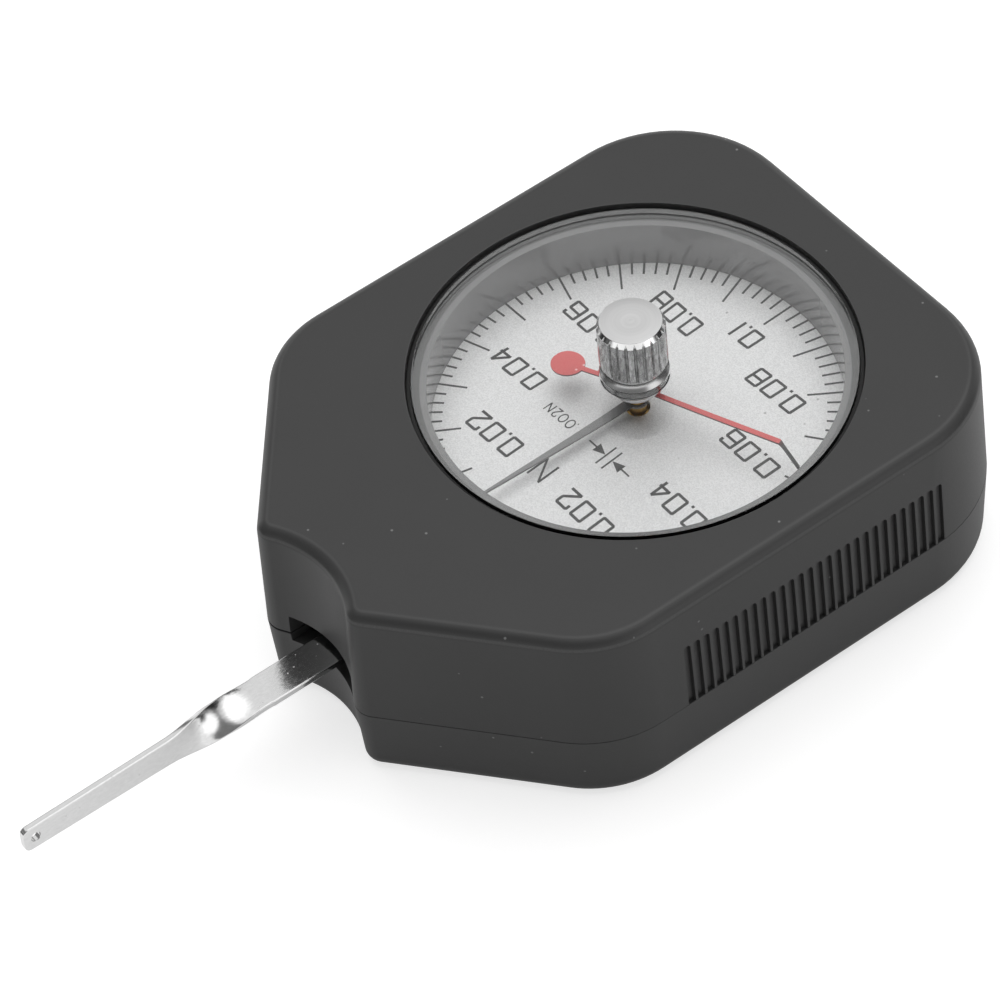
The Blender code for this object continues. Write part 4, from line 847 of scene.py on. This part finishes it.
def shell_block(name, lift, edge, draft, radius, steps=9):
    """A solid from the seam to a rounded edge, up to the case's top (lift 1) or down to its back (-1)."""
    rings = [seam_ring(SEAM_EDGE, lift * 0.001 * MM), seam_ring(0.0, lift * SEAM_EDGE)]
    for k in range(steps + 1):
        angle = pi / 2 * k / steps
        rings.append(plan_ring(draft + radius * (1 - cos(angle)), edge - lift * radius * (1 - sin(angle))))
    return as_object(name, lofted(rings), case_plastic)


# %% Cutters and Booleans
def cut_out(made, *cutters):
    for cutter in cutters:
        take = made.modifiers.new(cutter.name, "BOOLEAN")
        take.operation = "DIFFERENCE"
        take.solver = "EXACT"
        take.object = cutter


def box_cutter(name, low, high):
    bm = bmesh.new()
    bmesh.ops.create_cube(bm, size=1.0)
    bmesh.ops.scale(bm, verts=bm.verts, vec=Vector(high) - Vector(low))
    bmesh.ops.translate(bm, verts=bm.verts, vec=(Vector(high) + Vector(low)) / 2)
    return as_object(name, bm)


def round_cutter(name, profile, sides, centre=(0.0, 0.0)):
    return as_object(name, turned(profile, sides, centre, ring=False))


def finish_shell(made, node, cutters):
    """Cuts a shell, hands it over and removes its cutters."""
    cut_out(made, *cutters)
    apply_modifiers(made, even=True, sharp=32.0)
    hand_over(made, "case", "case_black", node)
    throw_away(*cutters)


# %% Upper shell
WINDOW_EDGE = 0.18 * MM
upper_case = shell_block("upper_shell", 1, CASE_TOP, UPPER_DRAFT, TOP_FILLET)
hollow = as_object("upper_hollow", lofted([
    plan_ring(WALL, PART_LINE - MM), plan_ring(WALL + UPPER_DRAFT, TOP_INSIDE)]))
window = round_cutter("window", [
    (0.0, TOP_INSIDE - MM), (WINDOW_RADIUS, TOP_INSIDE - MM), (WINDOW_RADIUS, CASE_TOP - WINDOW_EDGE),
    (WINDOW_RADIUS + WINDOW_EDGE * 0.3, CASE_TOP - WINDOW_EDGE * 0.3),
    (WINDOW_RADIUS + WINDOW_EDGE, CASE_TOP), (WINDOW_RADIUS + WINDOW_EDGE, CASE_TOP + MM),
    (0.0, CASE_TOP + MM)], 160)
upper_slot = box_cutter("upper_slot", (-SLOT_HALF_WIDTH, NOSE_Y - MM, PART_LINE - MM),
                        (SLOT_HALF_WIDTH, SLOT_INNER_Y, SLOT_HIGH))
finish_shell(upper_case, "upper_case", [hollow, window, upper_slot, *grip_rows])

# %% Lower shell
WELL_PROFILE = in_mm([(0.0, 1.95), (2.35, 1.95), (2.35, 0.15), (2.55, 0.0), (2.55, -1.0), (0.0, -1.0)])
lower_case = shell_block("lower_shell", -1, 0.0, LOWER_DRAFT, BOTTOM_FILLET)
hollow = as_object("lower_hollow", lofted([
    plan_ring(WALL + LOWER_DRAFT, BACK_INSIDE), plan_ring(WALL, PART_LINE + MM)]))
lower_slot = box_cutter("lower_slot", (-SLOT_HALF_WIDTH, NOSE_Y - MM, SLOT_LOW),
                        (SLOT_HALF_WIDTH, SLOT_INNER_Y, PART_LINE + MM))
wells = [round_cutter(f"screw_well_{row}_{side}", WELL_PROFILE, 40, (side * x, y))
         for row, (x, y) in enumerate((SCREW_REAR, SCREW_FRONT)) for side in SIDE_NAMES]
finish_shell(lower_case, "lower_case", [hollow, lower_slot, *wells])

# %% [markdown]
# ## The dial cover, its ring and its seal
# The cover is a clear plate that is carried by a grey satin ring, which also hides the edge of
# the dial. Glass needs a closed shell with true thickness, because light bends at both of its
# faces, so the plate is turned as a closed section, and its small rounded edges give the bright
# lines round the dial. The plated bush in its middle is moulded in: it stands a hair into the
# glass, because with an air gap between them the wall of the hole would mirror the dial instead.

# %% Turn the cover and its bush
COVER_TOP, COVER_UNDER = 25.05, 23.05
BUSH_RADIUS, BORE_RADIUS = 3.85, 1.05
keep_ring("dial_cover", "crystal", BUSH_RADIUS - 0.02, 24.8, COVER_UNDER, COVER_TOP, 0.22, 192,
          clear_plastic, "case", "clear", steps=5, sharp=40.0)
keep_ring("cover_bush", "crystal_bush", BORE_RADIUS, BUSH_RADIUS, COVER_UNDER, COVER_TOP - 0.01, 0.06, 128,
          bright_plate, "case", "steel")

# %% Turn the ring and the seal
section = in_mm([(23.1, 23.0), (23.2, 23.04), (24.7, 23.04), (24.75, 22.99), (24.75, 22.65), (26.6, 22.65),
                 (26.6, 21.15), (24.8, 21.15), (24.8, 17.24), (22.6, 17.24)])
keep("dial_ring", turned(section, 192), ring_satin, "case", "dial_silver", "crystal", sharp=40.0)
keep_ring("cover_seal", "crystal_seal", 24.85, 25.35, 22.7, 24.6, 0.12, 160, seal_rubber, "case", "rubber",
          sharp=40.0)

# %% [markdown]
# ## The dial
# The dial is a thin silvered disc on two feet. The print on it could be painted by a texture, but
# a texture blurs in close views, so every mark is a very thin piece of its own lying on the disc.
# The hundred graduations repeat round a circle and come from Geometry Nodes; the numerals are
# drawn as strokes, as an engraver would cut them.

# %% Turn the dial disc
DISC_TOP, DISC_UNDER = 17.2, 16.6
DIAL_TOP = DISC_TOP * MM
section = in_mm([(1.5, DISC_TOP), (25.0, DISC_TOP), (25.0, DISC_UNDER), (1.5, DISC_UNDER)])
bm = turned(eased(section, 0.06 * MM, 2), 128)
foot = in_mm([(0.0, DISC_UNDER), (1.6, DISC_UNDER), (1.6, 16.05), (0.8, 16.05), (0.8, 14.6), (0.0, 14.6)])
for x in (-17.5 * MM, 17.5 * MM):
    add_turned(bm, foot, 24, (x, 0.0), ring=False)
keep("dial_disc", bm, dial_silver, "case", "dial_silver", "dial_plate", sharp=40.0)

# %% The graduations, with Geometry Nodes
tick_tree, given = new_tree("ring_of_ticks", {
    "Count": "Int", "Long Every": "Int", "Outer Radius": "Float", "Short": "Float", "Long": "Float",
    "Width": "Float", "Thickness": "Float", "Centre": "Vector", "Turn": "Float", "Material": "Material"})
start = given["Count"]
number = start.node("GeometryNodeInputIndex")
angle = number * tau / given["Count"] + given["Turn"]
leftover = number.maths("MODULO", number, given["Long Every"])
is_long = leftover.maths("LESS_THAN", leftover, 0.5)


def ticks(length, chosen):
    """One length of tick, set with its outer end on the circle."""
    bar = start.node("GeometryNodeMeshCube", None, {"Size": xyz(length, given["Width"], given["Thickness"])})
    middle = given["Outer Radius"] - length / 2
    spot = xyz(angle.maths("COSINE", angle) * middle, angle.maths("SINE", angle) * middle, 0.0)
    where = start.node("ShaderNodeVectorMath", {"operation": "ADD"}, {0: spot, 1: given["Centre"]})
    points = start.node("GeometryNodePoints", None, {"Count": given["Count"], "Position": where})
    return copies(bar, points, {"Selection": chosen, "Rotation": xyz(0.0, 0.0, angle)})


joined = start.node("GeometryNodeJoinGeometry")
for made in (ticks(given["Short"], 1 - is_long), ticks(given["Long"], is_long)):
    start.tree.links.new(made.socket, joined.socket.node.inputs[0])
end_tree(tick_tree, joined, given["Material"])

# %% Grow the graduations
PRINT_CENTRE = (-0.33 * MM, -0.30 * MM)
PRINT_TURN = radians(2.037)
INK = 0.02 * MM
INK_LEVEL = DIAL_TOP + INK / 2 + 0.002 * MM
tick_marks = grown("tick_marks", tick_tree, {
    "Count": 100, "Long Every": 5, "Outer Radius": 23.0 * MM, "Short": 2.0 * MM, "Long": 4.0 * MM,
    "Width": 0.25 * MM, "Thickness": INK, "Centre": (*PRINT_CENTRE, INK_LEVEL),
    "Turn": -pi / 2 + PRINT_TURN, "Material": dial_ink})
print("tick faces", len(tick_marks.data.polygons))

# %% The numerals, as strokes
GLYPH_WIDTH = 1.55
GLYPH_HEIGHT = 2.3
STROKE, DOT_STROKE = 0.335, 0.34
HALF_W = GLYPH_WIDTH / 2
HALF_H = GLYPH_HEIGHT / 2


def chamfered(points, closed=False, cut=0.1):
    """Takes the corners off a line of strokes."""
    return eased(points, cut, 1, closed)


BOX = chamfered([(-HALF_W, -HALF_H), (HALF_W, -HALF_H), (HALF_W, HALF_H), (-HALF_W, HALF_H)], True)
BOX.append(BOX[0])
STROKES = {
    "0": [BOX],
    "1": [[(0.0, -HALF_H - 0.1), (0.0, HALF_H + 0.1)]],
    "2": [chamfered([(-HALF_W, HALF_H - 0.62), (-HALF_W, HALF_H), (HALF_W, HALF_H), (HALF_W, HALF_H - 0.9),
                     (-HALF_W, -HALF_H), (HALF_W + 0.08, -HALF_H)], cut=0.12)],
    "4": [[(0.35, -HALF_H - 0.12), (0.35, HALF_H)], [(0.35, HALF_H), (-0.85, -0.5)],
          [(-0.93, -0.5), (0.66, -0.5)]],
    "6": [chamfered([(HALF_W, HALF_H - 0.5), (HALF_W, HALF_H), (-HALF_W, HALF_H), (-HALF_W, -HALF_H),
                     (HALF_W, -HALF_H), (HALF_W, 0.12), (-HALF_W, 0.12)])],
    "8": [BOX, [(-HALF_W, 0.1), (HALF_W, 0.1)]],
    ".": [[(-0.16, 0.0), (0.16, 0.0)]],
}


# %% Ink one stroke
def add_stroke(bm, line, width):
    """A flat ribbon with mitred corners; a line that ends where it starts gives a loop."""
    closed = line[0] == line[-1]
    points = [Vector(p) for p in (line[:-1] if closed else line)]
    count = len(points)
    sides = []
    for k, point in enumerate(points):
        before = (point - points[k - 1]).normalized() if closed or k else None
        after = (points[(k + 1) % count] - point).normalized() if closed or k < count - 1 else None
        run = before or after
        nxt = after or before
        out = Vector((-(run.y + nxt.y), run.x + nxt.x)).normalized()
        stretch = width / 2 / max(out.dot(Vector((-run.y, run.x))), 0.3)
        sides.append((point + out * stretch, point - out * stretch))
    low, high = INK_LEVEL - INK / 2, INK_LEVEL + INK / 2
    rings = [[(*a, low), (*b, low), (*b, high), (*a, high)] for a, b in sides]
    add_loft(bm, rings, close=closed)


# %% Lay the labels out
def facing_point(x, y, angle):
    """Turns a point drawn along -Y to an angle measured from -Y towards +X."""
    c, s = cos(angle), sin(angle)
    return (x * c - y * s, x * s + y * c)


def dial_point(u, w):
    """From the print's own reading frame, in mm, to the dial."""
    x, y = facing_point(-u * MM, -w * MM, PRINT_TURN)
    return Vector((PRINT_CENTRE[0] + x, PRINT_CENTRE[1] + y))


def add_lines(bm, lines, centre, width):
    for line in lines:
        add_stroke(bm, [dial_point(centre[0] + x, centre[1] + y) for x, y in line], width * MM)


def add_text(bm, u, w, *glyphs):
    """Glyphs at steps to the right of a place, each with its own lift."""
    for character, step, lift in glyphs:
        add_lines(bm, STROKES[character], (u + step, w + lift), DOT_STROKE if character == "." else STROKE)


LABELS = {
    (-16.04, -5.18): "6", (-16.20, 5.41): "4", (-10.16, 13.31): "2", (5.34, 13.31): "2",
    (11.30, 5.39): "4", (11.15, -5.19): "6", (5.64, -13.34): "8", (-11.11, -13.33): "8",
}
bm = bmesh.new()
for (u, w), last in LABELS.items():
    add_text(bm, u, w, ("0", 0.0, 0.0), (".", 1.45, -1.17), ("0", 3.03, 0.0), (last, 5.37, 0.0))
add_text(bm, -0.75, -16.64, ("0", 0.0, 0.0), (".", 1.43, -1.15), ("1", 2.33, 0.0))
print("labels", len(LABELS) + 1)

# %% The unit, the value of a division and its sign
def oval(centre, half_width, half_height, steps=16):
    angles = [tau * k / steps for k in range(steps)] + [0.0]
    return [(centre + half_width * cos(a), half_height * sin(a)) for a in angles]


add_lines(bm, [[(-0.92, -1.45), (-0.92, 1.45)], [(-0.92, 1.4), (0.92, -1.4)], [(0.92, -1.45), (0.92, 1.45)]],
          (0.23, 12.89), 0.26)
small = [oval(-1.6, 0.45, 0.6), oval(-0.35, 0.45, 0.6),
         [(0.5, 0.3), (0.56, 0.52), (0.78, 0.62), (1.02, 0.55), (1.12, 0.3), (1.0, 0.02), (0.5, -0.6),
          (1.18, -0.6)],
         [(1.6, -0.64), (1.6, 0.6)], [(1.6, 0.6), (2.36, -0.6)], [(2.36, -0.62), (2.36, 0.64)],
         [(-2.36, -0.58), (-2.24, -0.58)]]
add_lines(bm, small, (4.82, 6.76), 0.15)

SIGN_CENTRE = (-3.59, 6.72)
for side in (-1, 1):
    add_lines(bm, [[(side * 0.5, -1.5), (side * 0.5, 1.5)], [(side * 1.7, 0.0), (side * 3.45, 0.0)]],
              SIGN_CENTRE, 0.2)
    head = [dial_point(SIGN_CENTRE[0] + side * x, SIGN_CENTRE[1] + y)
            for x, y in ((0.62, 0.0), (2.15, 0.62), (2.15, -0.62))]
    add_loft(bm, [[(*p, z) for p in head] for z in (INK_LEVEL - INK / 2, INK_LEVEL + INK / 2)])

# %% Join the print into one piece
bm.from_mesh(tick_marks.data)
throw_away(tick_marks)
bmesh.ops.recalc_face_normals(bm, faces=bm.faces)
dial_print = as_object("dial_print", bm, dial_ink, join=False)
dial_print.data.shade_flat()
hand_over(dial_print, "case", "pointer_grey")

# %% [markdown]
# ## The reading pointer
# A long thin needle, stamped from sheet, widening to a ring at its root, on a turned brass hub.

# %% Stamp the needle and turn its hub
POINTER_LOW = 18.35 * MM
POINTER_REST = radians(-2.4)
ring, root, tip = 1.45 * MM, 1.3 * MM, 0.25 * MM
join = asin(root / 2 / ring)
needle = arc((0.0, 0.0), ring, -pi / 2 + join, pi * 3 / 2 - join, 40)
needle += [(-tip / 2, -21.2 * MM), (tip / 2, -21.2 * MM)]
needle = [facing_point(x, y, POINTER_REST) for x, y in needle]
bm = sheet_mesh("needle", [needle, circle(0.66 * MM, 32)], POINTER_LOW, POINTER_LOW + 0.25 * MM, 0.03 * MM)
keep("reading_needle", bm, pointer_grey, "pointer", "pointer_grey", "main_pointer")
for name, node, low, high, edge in (
        ("needle_hub", "pointer_hub", 16.95, 18.3, 0.08), ("needle_cap", "pointer_cap", 18.65, 19.25, 0.12)):
    keep_ring(name, node, 0.66, 1.2, low, high, edge, 40, stamped_brass, "pointer", "brass")

# %% [markdown]
# ## The hold pointer
# A red lacquered strip with a round counterweight. Its tip is dipped in black and bent down, so
# that the reading needle pushes it. The black could be a second piece, but it is the same strip,
# so each point carries an attribute named tip and the recipe mixes the two lacquers by it. The
# recipe also paints shade on the stamped edges: everything under the strip's top face is darkened.

# %% Stamp the strip
HOLD_LOW = 20.65 * MM
HOLD_REST = radians(112.7)
HOLD_THICK = 0.25 * MM
arm = 0.33 * MM
ring = 1.9 * MM
weight_reach, weight_radius = 8.9 * MM, 1.9 * MM
bend, tip_reach = -17.9 * MM, -20.4 * MM
tip_low, tip_half, tip_side = 18.9 * MM, 0.225 * MM, -0.9 * MM
black_run = 0.4 * MM
flat_end = bend + 0.3 * MM
join = asin(arm / ring)
neck = asin(arm / weight_radius)
outline = arc((0.0, 0.0), ring, -pi / 2 + join, pi / 2 - join, 20)
outline += arc((0.0, weight_reach), weight_radius, -pi / 2 + neck, pi * 3 / 2 - neck, 48)
outline += arc((0.0, 0.0), ring, pi / 2 + join, pi * 3 / 2 - join, 20)
outline += [(-arm, flat_end), (arm, flat_end)]
outline = [facing_point(x, y, HOLD_REST) for x, y in outline]
bm = sheet_mesh("hold", [outline, circle(1.06 * MM, 32)], HOLD_LOW, HOLD_LOW + HOLD_THICK, 0.03 * MM)

# %% Bend its tip and mark the black part
rings = []
for k in range(13):
    t = k / 12
    y = flat_end + (tip_reach - flat_end) * t
    x = tip_side * max(t - 0.12, 0.0) / 0.88
    z = HOLD_LOW + (tip_low - HOLD_LOW) * max(t - 0.1, 0.0) / 0.9
    half = arm + (tip_half - arm) * min(t / 0.3, 1.0)
    low_a, low_b = facing_point(x - half, y, HOLD_REST), facing_point(x + half, y, HOLD_REST)
    rings.append([(*low_a, z), (*low_b, z), (*low_b, z + HOLD_THICK), (*low_a, z + HOLD_THICK)])
add_loft(bm, rings)
hold_strip = as_object("hold_strip", bm, hold_red)
apply_modifiers(hold_strip)
mark = hold_strip.data.attributes.new("tip", "FLOAT", "POINT")
for vertex in hold_strip.data.vertices:
    along = -Vector(facing_point(vertex.co.x, vertex.co.y, -HOLD_REST)).y
    mark.data[vertex.index].value = min(max((along + bend) / black_run, 0.0), 1.0)
hand_over(hold_strip, "hold_hand", "hold_red", "hold_pointer")

# %% [markdown]
# ## The knob and its stem
# The knob is turned, straight knurled and plated, with a satin face. The knurl is 24 flat lands
# with a narrow flute between each two. A round blank with wide flutes would be simpler, but the
# flats are what gives each land its own single tone. So the blank is lofted with flat lands whose
# upper ends lie on the chamfer's cone, and the flutes are one cutter set round by Geometry Nodes.
# Under the knurl a hollow neck flares out to a collar that stops a hair above the cover.

# %% A ring of cutters, with Geometry Nodes
ring_tree, given = new_tree("ring_of_pieces", {
    "Piece": "Object", "Count": "Int", "Turn": "Float", "Material": "Material"})
spots = given["Count"].node("GeometryNodePoints", None, {"Count": given["Count"]})
angle = spots.node("GeometryNodeInputIndex") * tau / given["Count"] + given["Turn"]
turned_copies = copies(shape_of(given["Piece"]), spots, {"Rotation": xyz(0.0, 0.0, angle)})
end_tree(ring_tree, turned_copies, given["Material"])

# %% Sizes of the knob, and its flat lands
KNOB_TOP = 32.6 * MM
KNURL_RADIUS = 3.87 * MM
KNURL_LOW = 26.6 * MM
CROWN_RADIUS = 3.5 * MM
CHAMFER_HEIGHT = 0.66 * MM
FLUTES = 24
FLUTE_DEPTH = 0.3 * MM
FLUTE_TURN = radians(-46.5)
PER_LAND = 8


def land_radius(k):
    """The knurl's lands are flat, so their radius is least in the middle of each."""
    share = (k % PER_LAND) / PER_LAND - 0.5
    return KNURL_RADIUS * cos(pi / FLUTES) / cos(share * tau / FLUTES)


def knob_loop(radius, z):
    """A loop of points at a radius and a height, each of which may depend on the point's number."""
    loop = []
    for k in range(FLUTES * PER_LAND):
        angle = FLUTE_TURN + tau * k / (FLUTES * PER_LAND)
        r = radius(k) if callable(radius) else radius
        loop.append((r * cos(angle), r * sin(angle), z(k) if callable(z) else z))
    return loop


def chamfer_z(k):
    """The height at which the chamfer's cone meets the land."""
    slope = CHAMFER_HEIGHT / (KNURL_RADIUS - CROWN_RADIUS)
    return KNOB_TOP - 0.04 * MM - (land_radius(k) - CROWN_RADIUS) * slope


# %% Loft the blank
loops = [knob_loop(r * MM, z * MM) for r, z in (
    (0.3, 25.08), (3.84, 25.08), (3.88, 25.11), (3.88, 25.15), (3.78, 25.28), (3.66, 25.44), (3.55, 25.6),
    (3.46, 25.8), (3.41, 26.0), (3.4, 26.2), (3.43, 26.36), (3.5, 26.48), (3.66, 26.58))]
loops.append(knob_loop(land_radius, KNURL_LOW + 0.05 * MM))
loops.append(knob_loop(land_radius, chamfer_z))
loops += [knob_loop(r * MM, KNOB_TOP - z * MM) for r, z in (
    (3.5, 0.04), (3.47, 0.018), (3.42, 0.01), (1.7, 0.01), (0.36, 0.01), (0.3, 0.012), (0.22, 0.004),
    (0.06, 0.0))]
knob = as_object("hold_knob", lofted(loops), knob_plate)
print("points round the knob", FLUTES * PER_LAND)

# %% Cut the flutes and the bore
half_mouth = 0.2 * MM
flute = as_object("flute_cutter", lofted([
    [(KNURL_RADIUS - FLUTE_DEPTH, -0.02 * MM, z), (KNURL_RADIUS - 0.02 * MM, -half_mouth, z),
     (KNURL_RADIUS + MM, -half_mouth * 2, z), (KNURL_RADIUS + MM, half_mouth * 2, z),
     (KNURL_RADIUS - 0.02 * MM, half_mouth, z), (KNURL_RADIUS - FLUTE_DEPTH, 0.02 * MM, z)]
    for z in (KNURL_LOW - 0.15 * MM, KNOB_TOP + 0.5 * MM)]))
flutes = grown("flute_ring", ring_tree, {"Piece": flute, "Count": FLUTES, "Turn": FLUTE_TURN,
                                         "Material": knob_plate})
bore = in_mm([(0.0, 24.08), (BORE_RADIUS, 24.08), (BORE_RADIUS, 30.4), (0.0, 30.4)])
bore = round_cutter("knob_bore", bore, 32)
cut_out(knob, flutes, bore)
apply_modifiers(knob, sharp=22.0)
hand_over(knob, "hold_hand", "chrome", "knob")
throw_away(flute, flutes, bore)

# %% Stem, washer, nut and hub
rod = in_mm([(0.0, 30.2), (0.92, 30.2), (1.0, 30.12), (1.0, 19.63), (0.92, 19.55), (0.0, 19.55)])
keep("knob_spindle", turned(rod, 32, ring=False), turned_steel, "hold_hand", "steel", "knob_stem")
for name, node, painted_dark_rim, low, high, edge in (
        ("spindle_washer", "thrust_washer", 3.4, 22.0, 22.8, 0.1),
        ("spindle_nut", "lock_nut", 2.8, 20.95, 21.95, 0.2),
        ("hold_hub", "hold_pointer_hub", 1.4, 19.9, 20.6, 0.08)):
    keep_ring(name, node, BORE_RADIUS, painted_dark_rim, low, high, edge, 64, turned_steel, "hold_hand", "steel")

# %% [markdown]
# ## The feeler
# A steel strip that leaves the slot flat, turns a quarter round its own length and ends on edge.
# It could be bent with a modifier, but its section changes too: it tapers to the tip. So it is a
# loft, a small rounded section that is turned and narrowed from station to station. A twisted face
# mirrors the room as a saddle does, so each wide side has twelve faces across it to show that.

# %% Sizes and section of the strip
FEELER_Z = 10.75 * MM
TAIL_Y = (-28.5 + 3.2) * MM
TWIST_START, TWIST_END, TIP_Y = -52.5 * MM, -65.5 * MM, -84.3 * MM
HALF_THICK, HALF_BASE, HALF_TIP = 0.4 * MM, 2.25 * MM, 1.675 * MM
CORNER = 0.8 * MM
EDGE = 0.15 * MM
ACROSS = 12


def strip_half_width(y):
    share = (y - TWIST_START) / (TIP_Y - TWIST_START)
    return HALF_BASE + (HALF_TIP - HALF_BASE) * sqrt(max(share, 0.0))


def strip_section(y, half_width):
    """The strip's section, turned by the twist, with rounded edges."""
    share = min(max((y - TWIST_START) / (TWIST_END - TWIST_START), 0.0), 1.0)
    turn = pi / 2 * share * share * (3 - 2 * share)
    c, s = cos(turn), sin(turn)
    corners = [(half_width, HALF_THICK), (-half_width, HALF_THICK), (-half_width, -HALF_THICK),
               (half_width, -HALF_THICK)]
    section = []
    for k, point in enumerate(eased(corners, EDGE, 4)):
        section.append(point)
        if k in (4, 14):
            step = -2 * (half_width - EDGE) / ACROSS * (1 if k == 4 else -1)
            section += [(point[0] + step * n, point[1]) for n in range(1, ACROSS)]
    return [(u * c + w * s, y, FEELER_Z - u * s + w * c) for u, w in section]


# %% Round its ends and join the stations
def rounded_end(y, direction, half):
    """Stations that round off the strip's corners at an end."""
    angles = [pi / 2 * k / 8 for k in range(9)]
    return [(y + direction * CORNER * (1 - sin(a)), half - CORNER * (1 - cos(a))) for a in angles]


places = rounded_end(TAIL_Y, -1, HALF_BASE)[::-1]
places += [(TAIL_Y + (TWIST_START - TAIL_Y) * k / 6, HALF_BASE) for k in range(2, 7)]
places += [(TWIST_START + (TWIST_END - TWIST_START) * k / 40, None) for k in range(1, 41)]
places += [(TWIST_END + (TIP_Y + CORNER - TWIST_END) * k / 8, None) for k in range(1, 8)]
places += rounded_end(TIP_Y, 1, HALF_TIP)
feeler = as_object("feeler_strip", lofted([
    strip_section(y, strip_half_width(y) if half is None else half) for y, half in places]), strip_steel)
print("stations along the feeler", len(places))

# %% Drill it and finish its surface
HOLE_FROM_TIP = 1.5 * MM
profile = in_mm([(0.0, -1.0), (1.2, -1.0), (0.6, -0.36), (0.6, 0.36), (1.2, 1.0), (0.0, 1.0)])
bm = turned(profile, 36, ring=False)
bmesh.ops.rotate(bm, verts=bm.verts, cent=(0, 0, 0), matrix=Matrix.Rotation(pi / 2, 3, "Y"))
bmesh.ops.translate(bm, verts=bm.verts, vec=(0.0, TIP_Y + HOLE_FROM_TIP, FEELER_Z))
drill = as_object("tip_drill", bm)
bores = [round_cutter(f"strip_bore_{k}", in_mm([(0.0, 9.0), (radius, 9.0), (radius, 12.5), (0.0, 12.5)]),
                      24, (0.0, y * MM))
         for k, (radius, y) in enumerate(((1.15, -28.5), (0.55, -31.9), (0.55, -34.6)))]
cut_out(feeler, drill, *bores)
apply_modifiers(feeler, even=True, sharp=40.0)
hand_over(feeler, "lever", "bright_steel", "feeler")
throw_away(drill, *bores)

# %% [markdown]
# ## The case screws
# Four cheese-head screws hold the shells together from the back. One is built with a slot across
# its head, and Geometry Nodes set a copy in each well.

# %% Build one screw, and the tree that sets four
blank = in_mm([(0.0, 0.4), (1.95, 0.4), (2.1, 0.55), (2.1, 1.6), (2.0, 1.7), (1.0, 1.7), (1.0, 15.5),
               (0.8, 15.7), (0.0, 15.7)])
screw = as_object("screw_blank", turned(blank, 40, ring=False), screw_steel)
slot = box_cutter("screw_slot", (-3 * MM, -0.2 * MM, -MM), (3 * MM, 0.2 * MM, 0.985 * MM))
cut_out(screw, slot)
apply_modifiers(screw)
throw_away(slot)

set_tree, given = new_tree("set_on_places", {
    "Piece": "Object", "Rear Across": "Float", "Rear Y": "Float",
    "Front Across": "Float", "Front Y": "Float", "Material": "Material"})
start = given["Piece"]
number = start.node("GeometryNodeInputIndex")
front = number.maths("GREATER_THAN", number, 1.5)
side = 1 - 2 * number.maths("MODULO", number, 2.0)
across = given["Rear Across"] + (given["Front Across"] - given["Rear Across"]) * front
along = given["Rear Y"] + (given["Front Y"] - given["Rear Y"]) * front
four = start.node("GeometryNodePoints", None, {"Count": 4, "Position": xyz(across * side, along, 0.0)})
turn = xyz(0.0, 0.0, number * 0.9 + 0.4)
end_tree(set_tree, copies(shape_of(start), four, {"Rotation": turn}), given["Material"])

# %% Grow the four screws
case_screws = grown("case_screws", set_tree, {
    "Piece": screw, "Rear Across": SCREW_REAR[0], "Rear Y": SCREW_REAR[1], "Front Across": SCREW_FRONT[0],
    "Front Y": SCREW_FRONT[1], "Material": screw_steel})
throw_away(screw)
apply_modifiers(case_screws)
hand_over(case_screws, "case", "screw_steel", "case_screw_1", "case_screw_2", "case_screw_3", "case_screw_4")

# %% [markdown]
# ## The movement inside
# The plates, pillars, gears and spring stay as CAD nodes: their shapes are right, and they are
# hidden by the case. They only need their surfaces, which are the same brass and steel recipes.

# %% Paint the CAD nodes that stay
BY_SLOT = {"brass": stamped_brass, "steel": turned_steel, "screw_steel": screw_steel,
           "spring_steel": tempered_strip, "bright_steel": strip_steel, "case_black": case_plastic}
slot_of = {part["node"]: part["material_slot"] for part in frame["record"]["subparts"]}
painted = 0
for name, node in frame["nodes"].items():
    if node.hide_render:
        continue
    for holder in node.material_slots:
        holder.material = BY_SLOT[slot_of[name]]
    painted += 1
print("CAD nodes painted", painted)
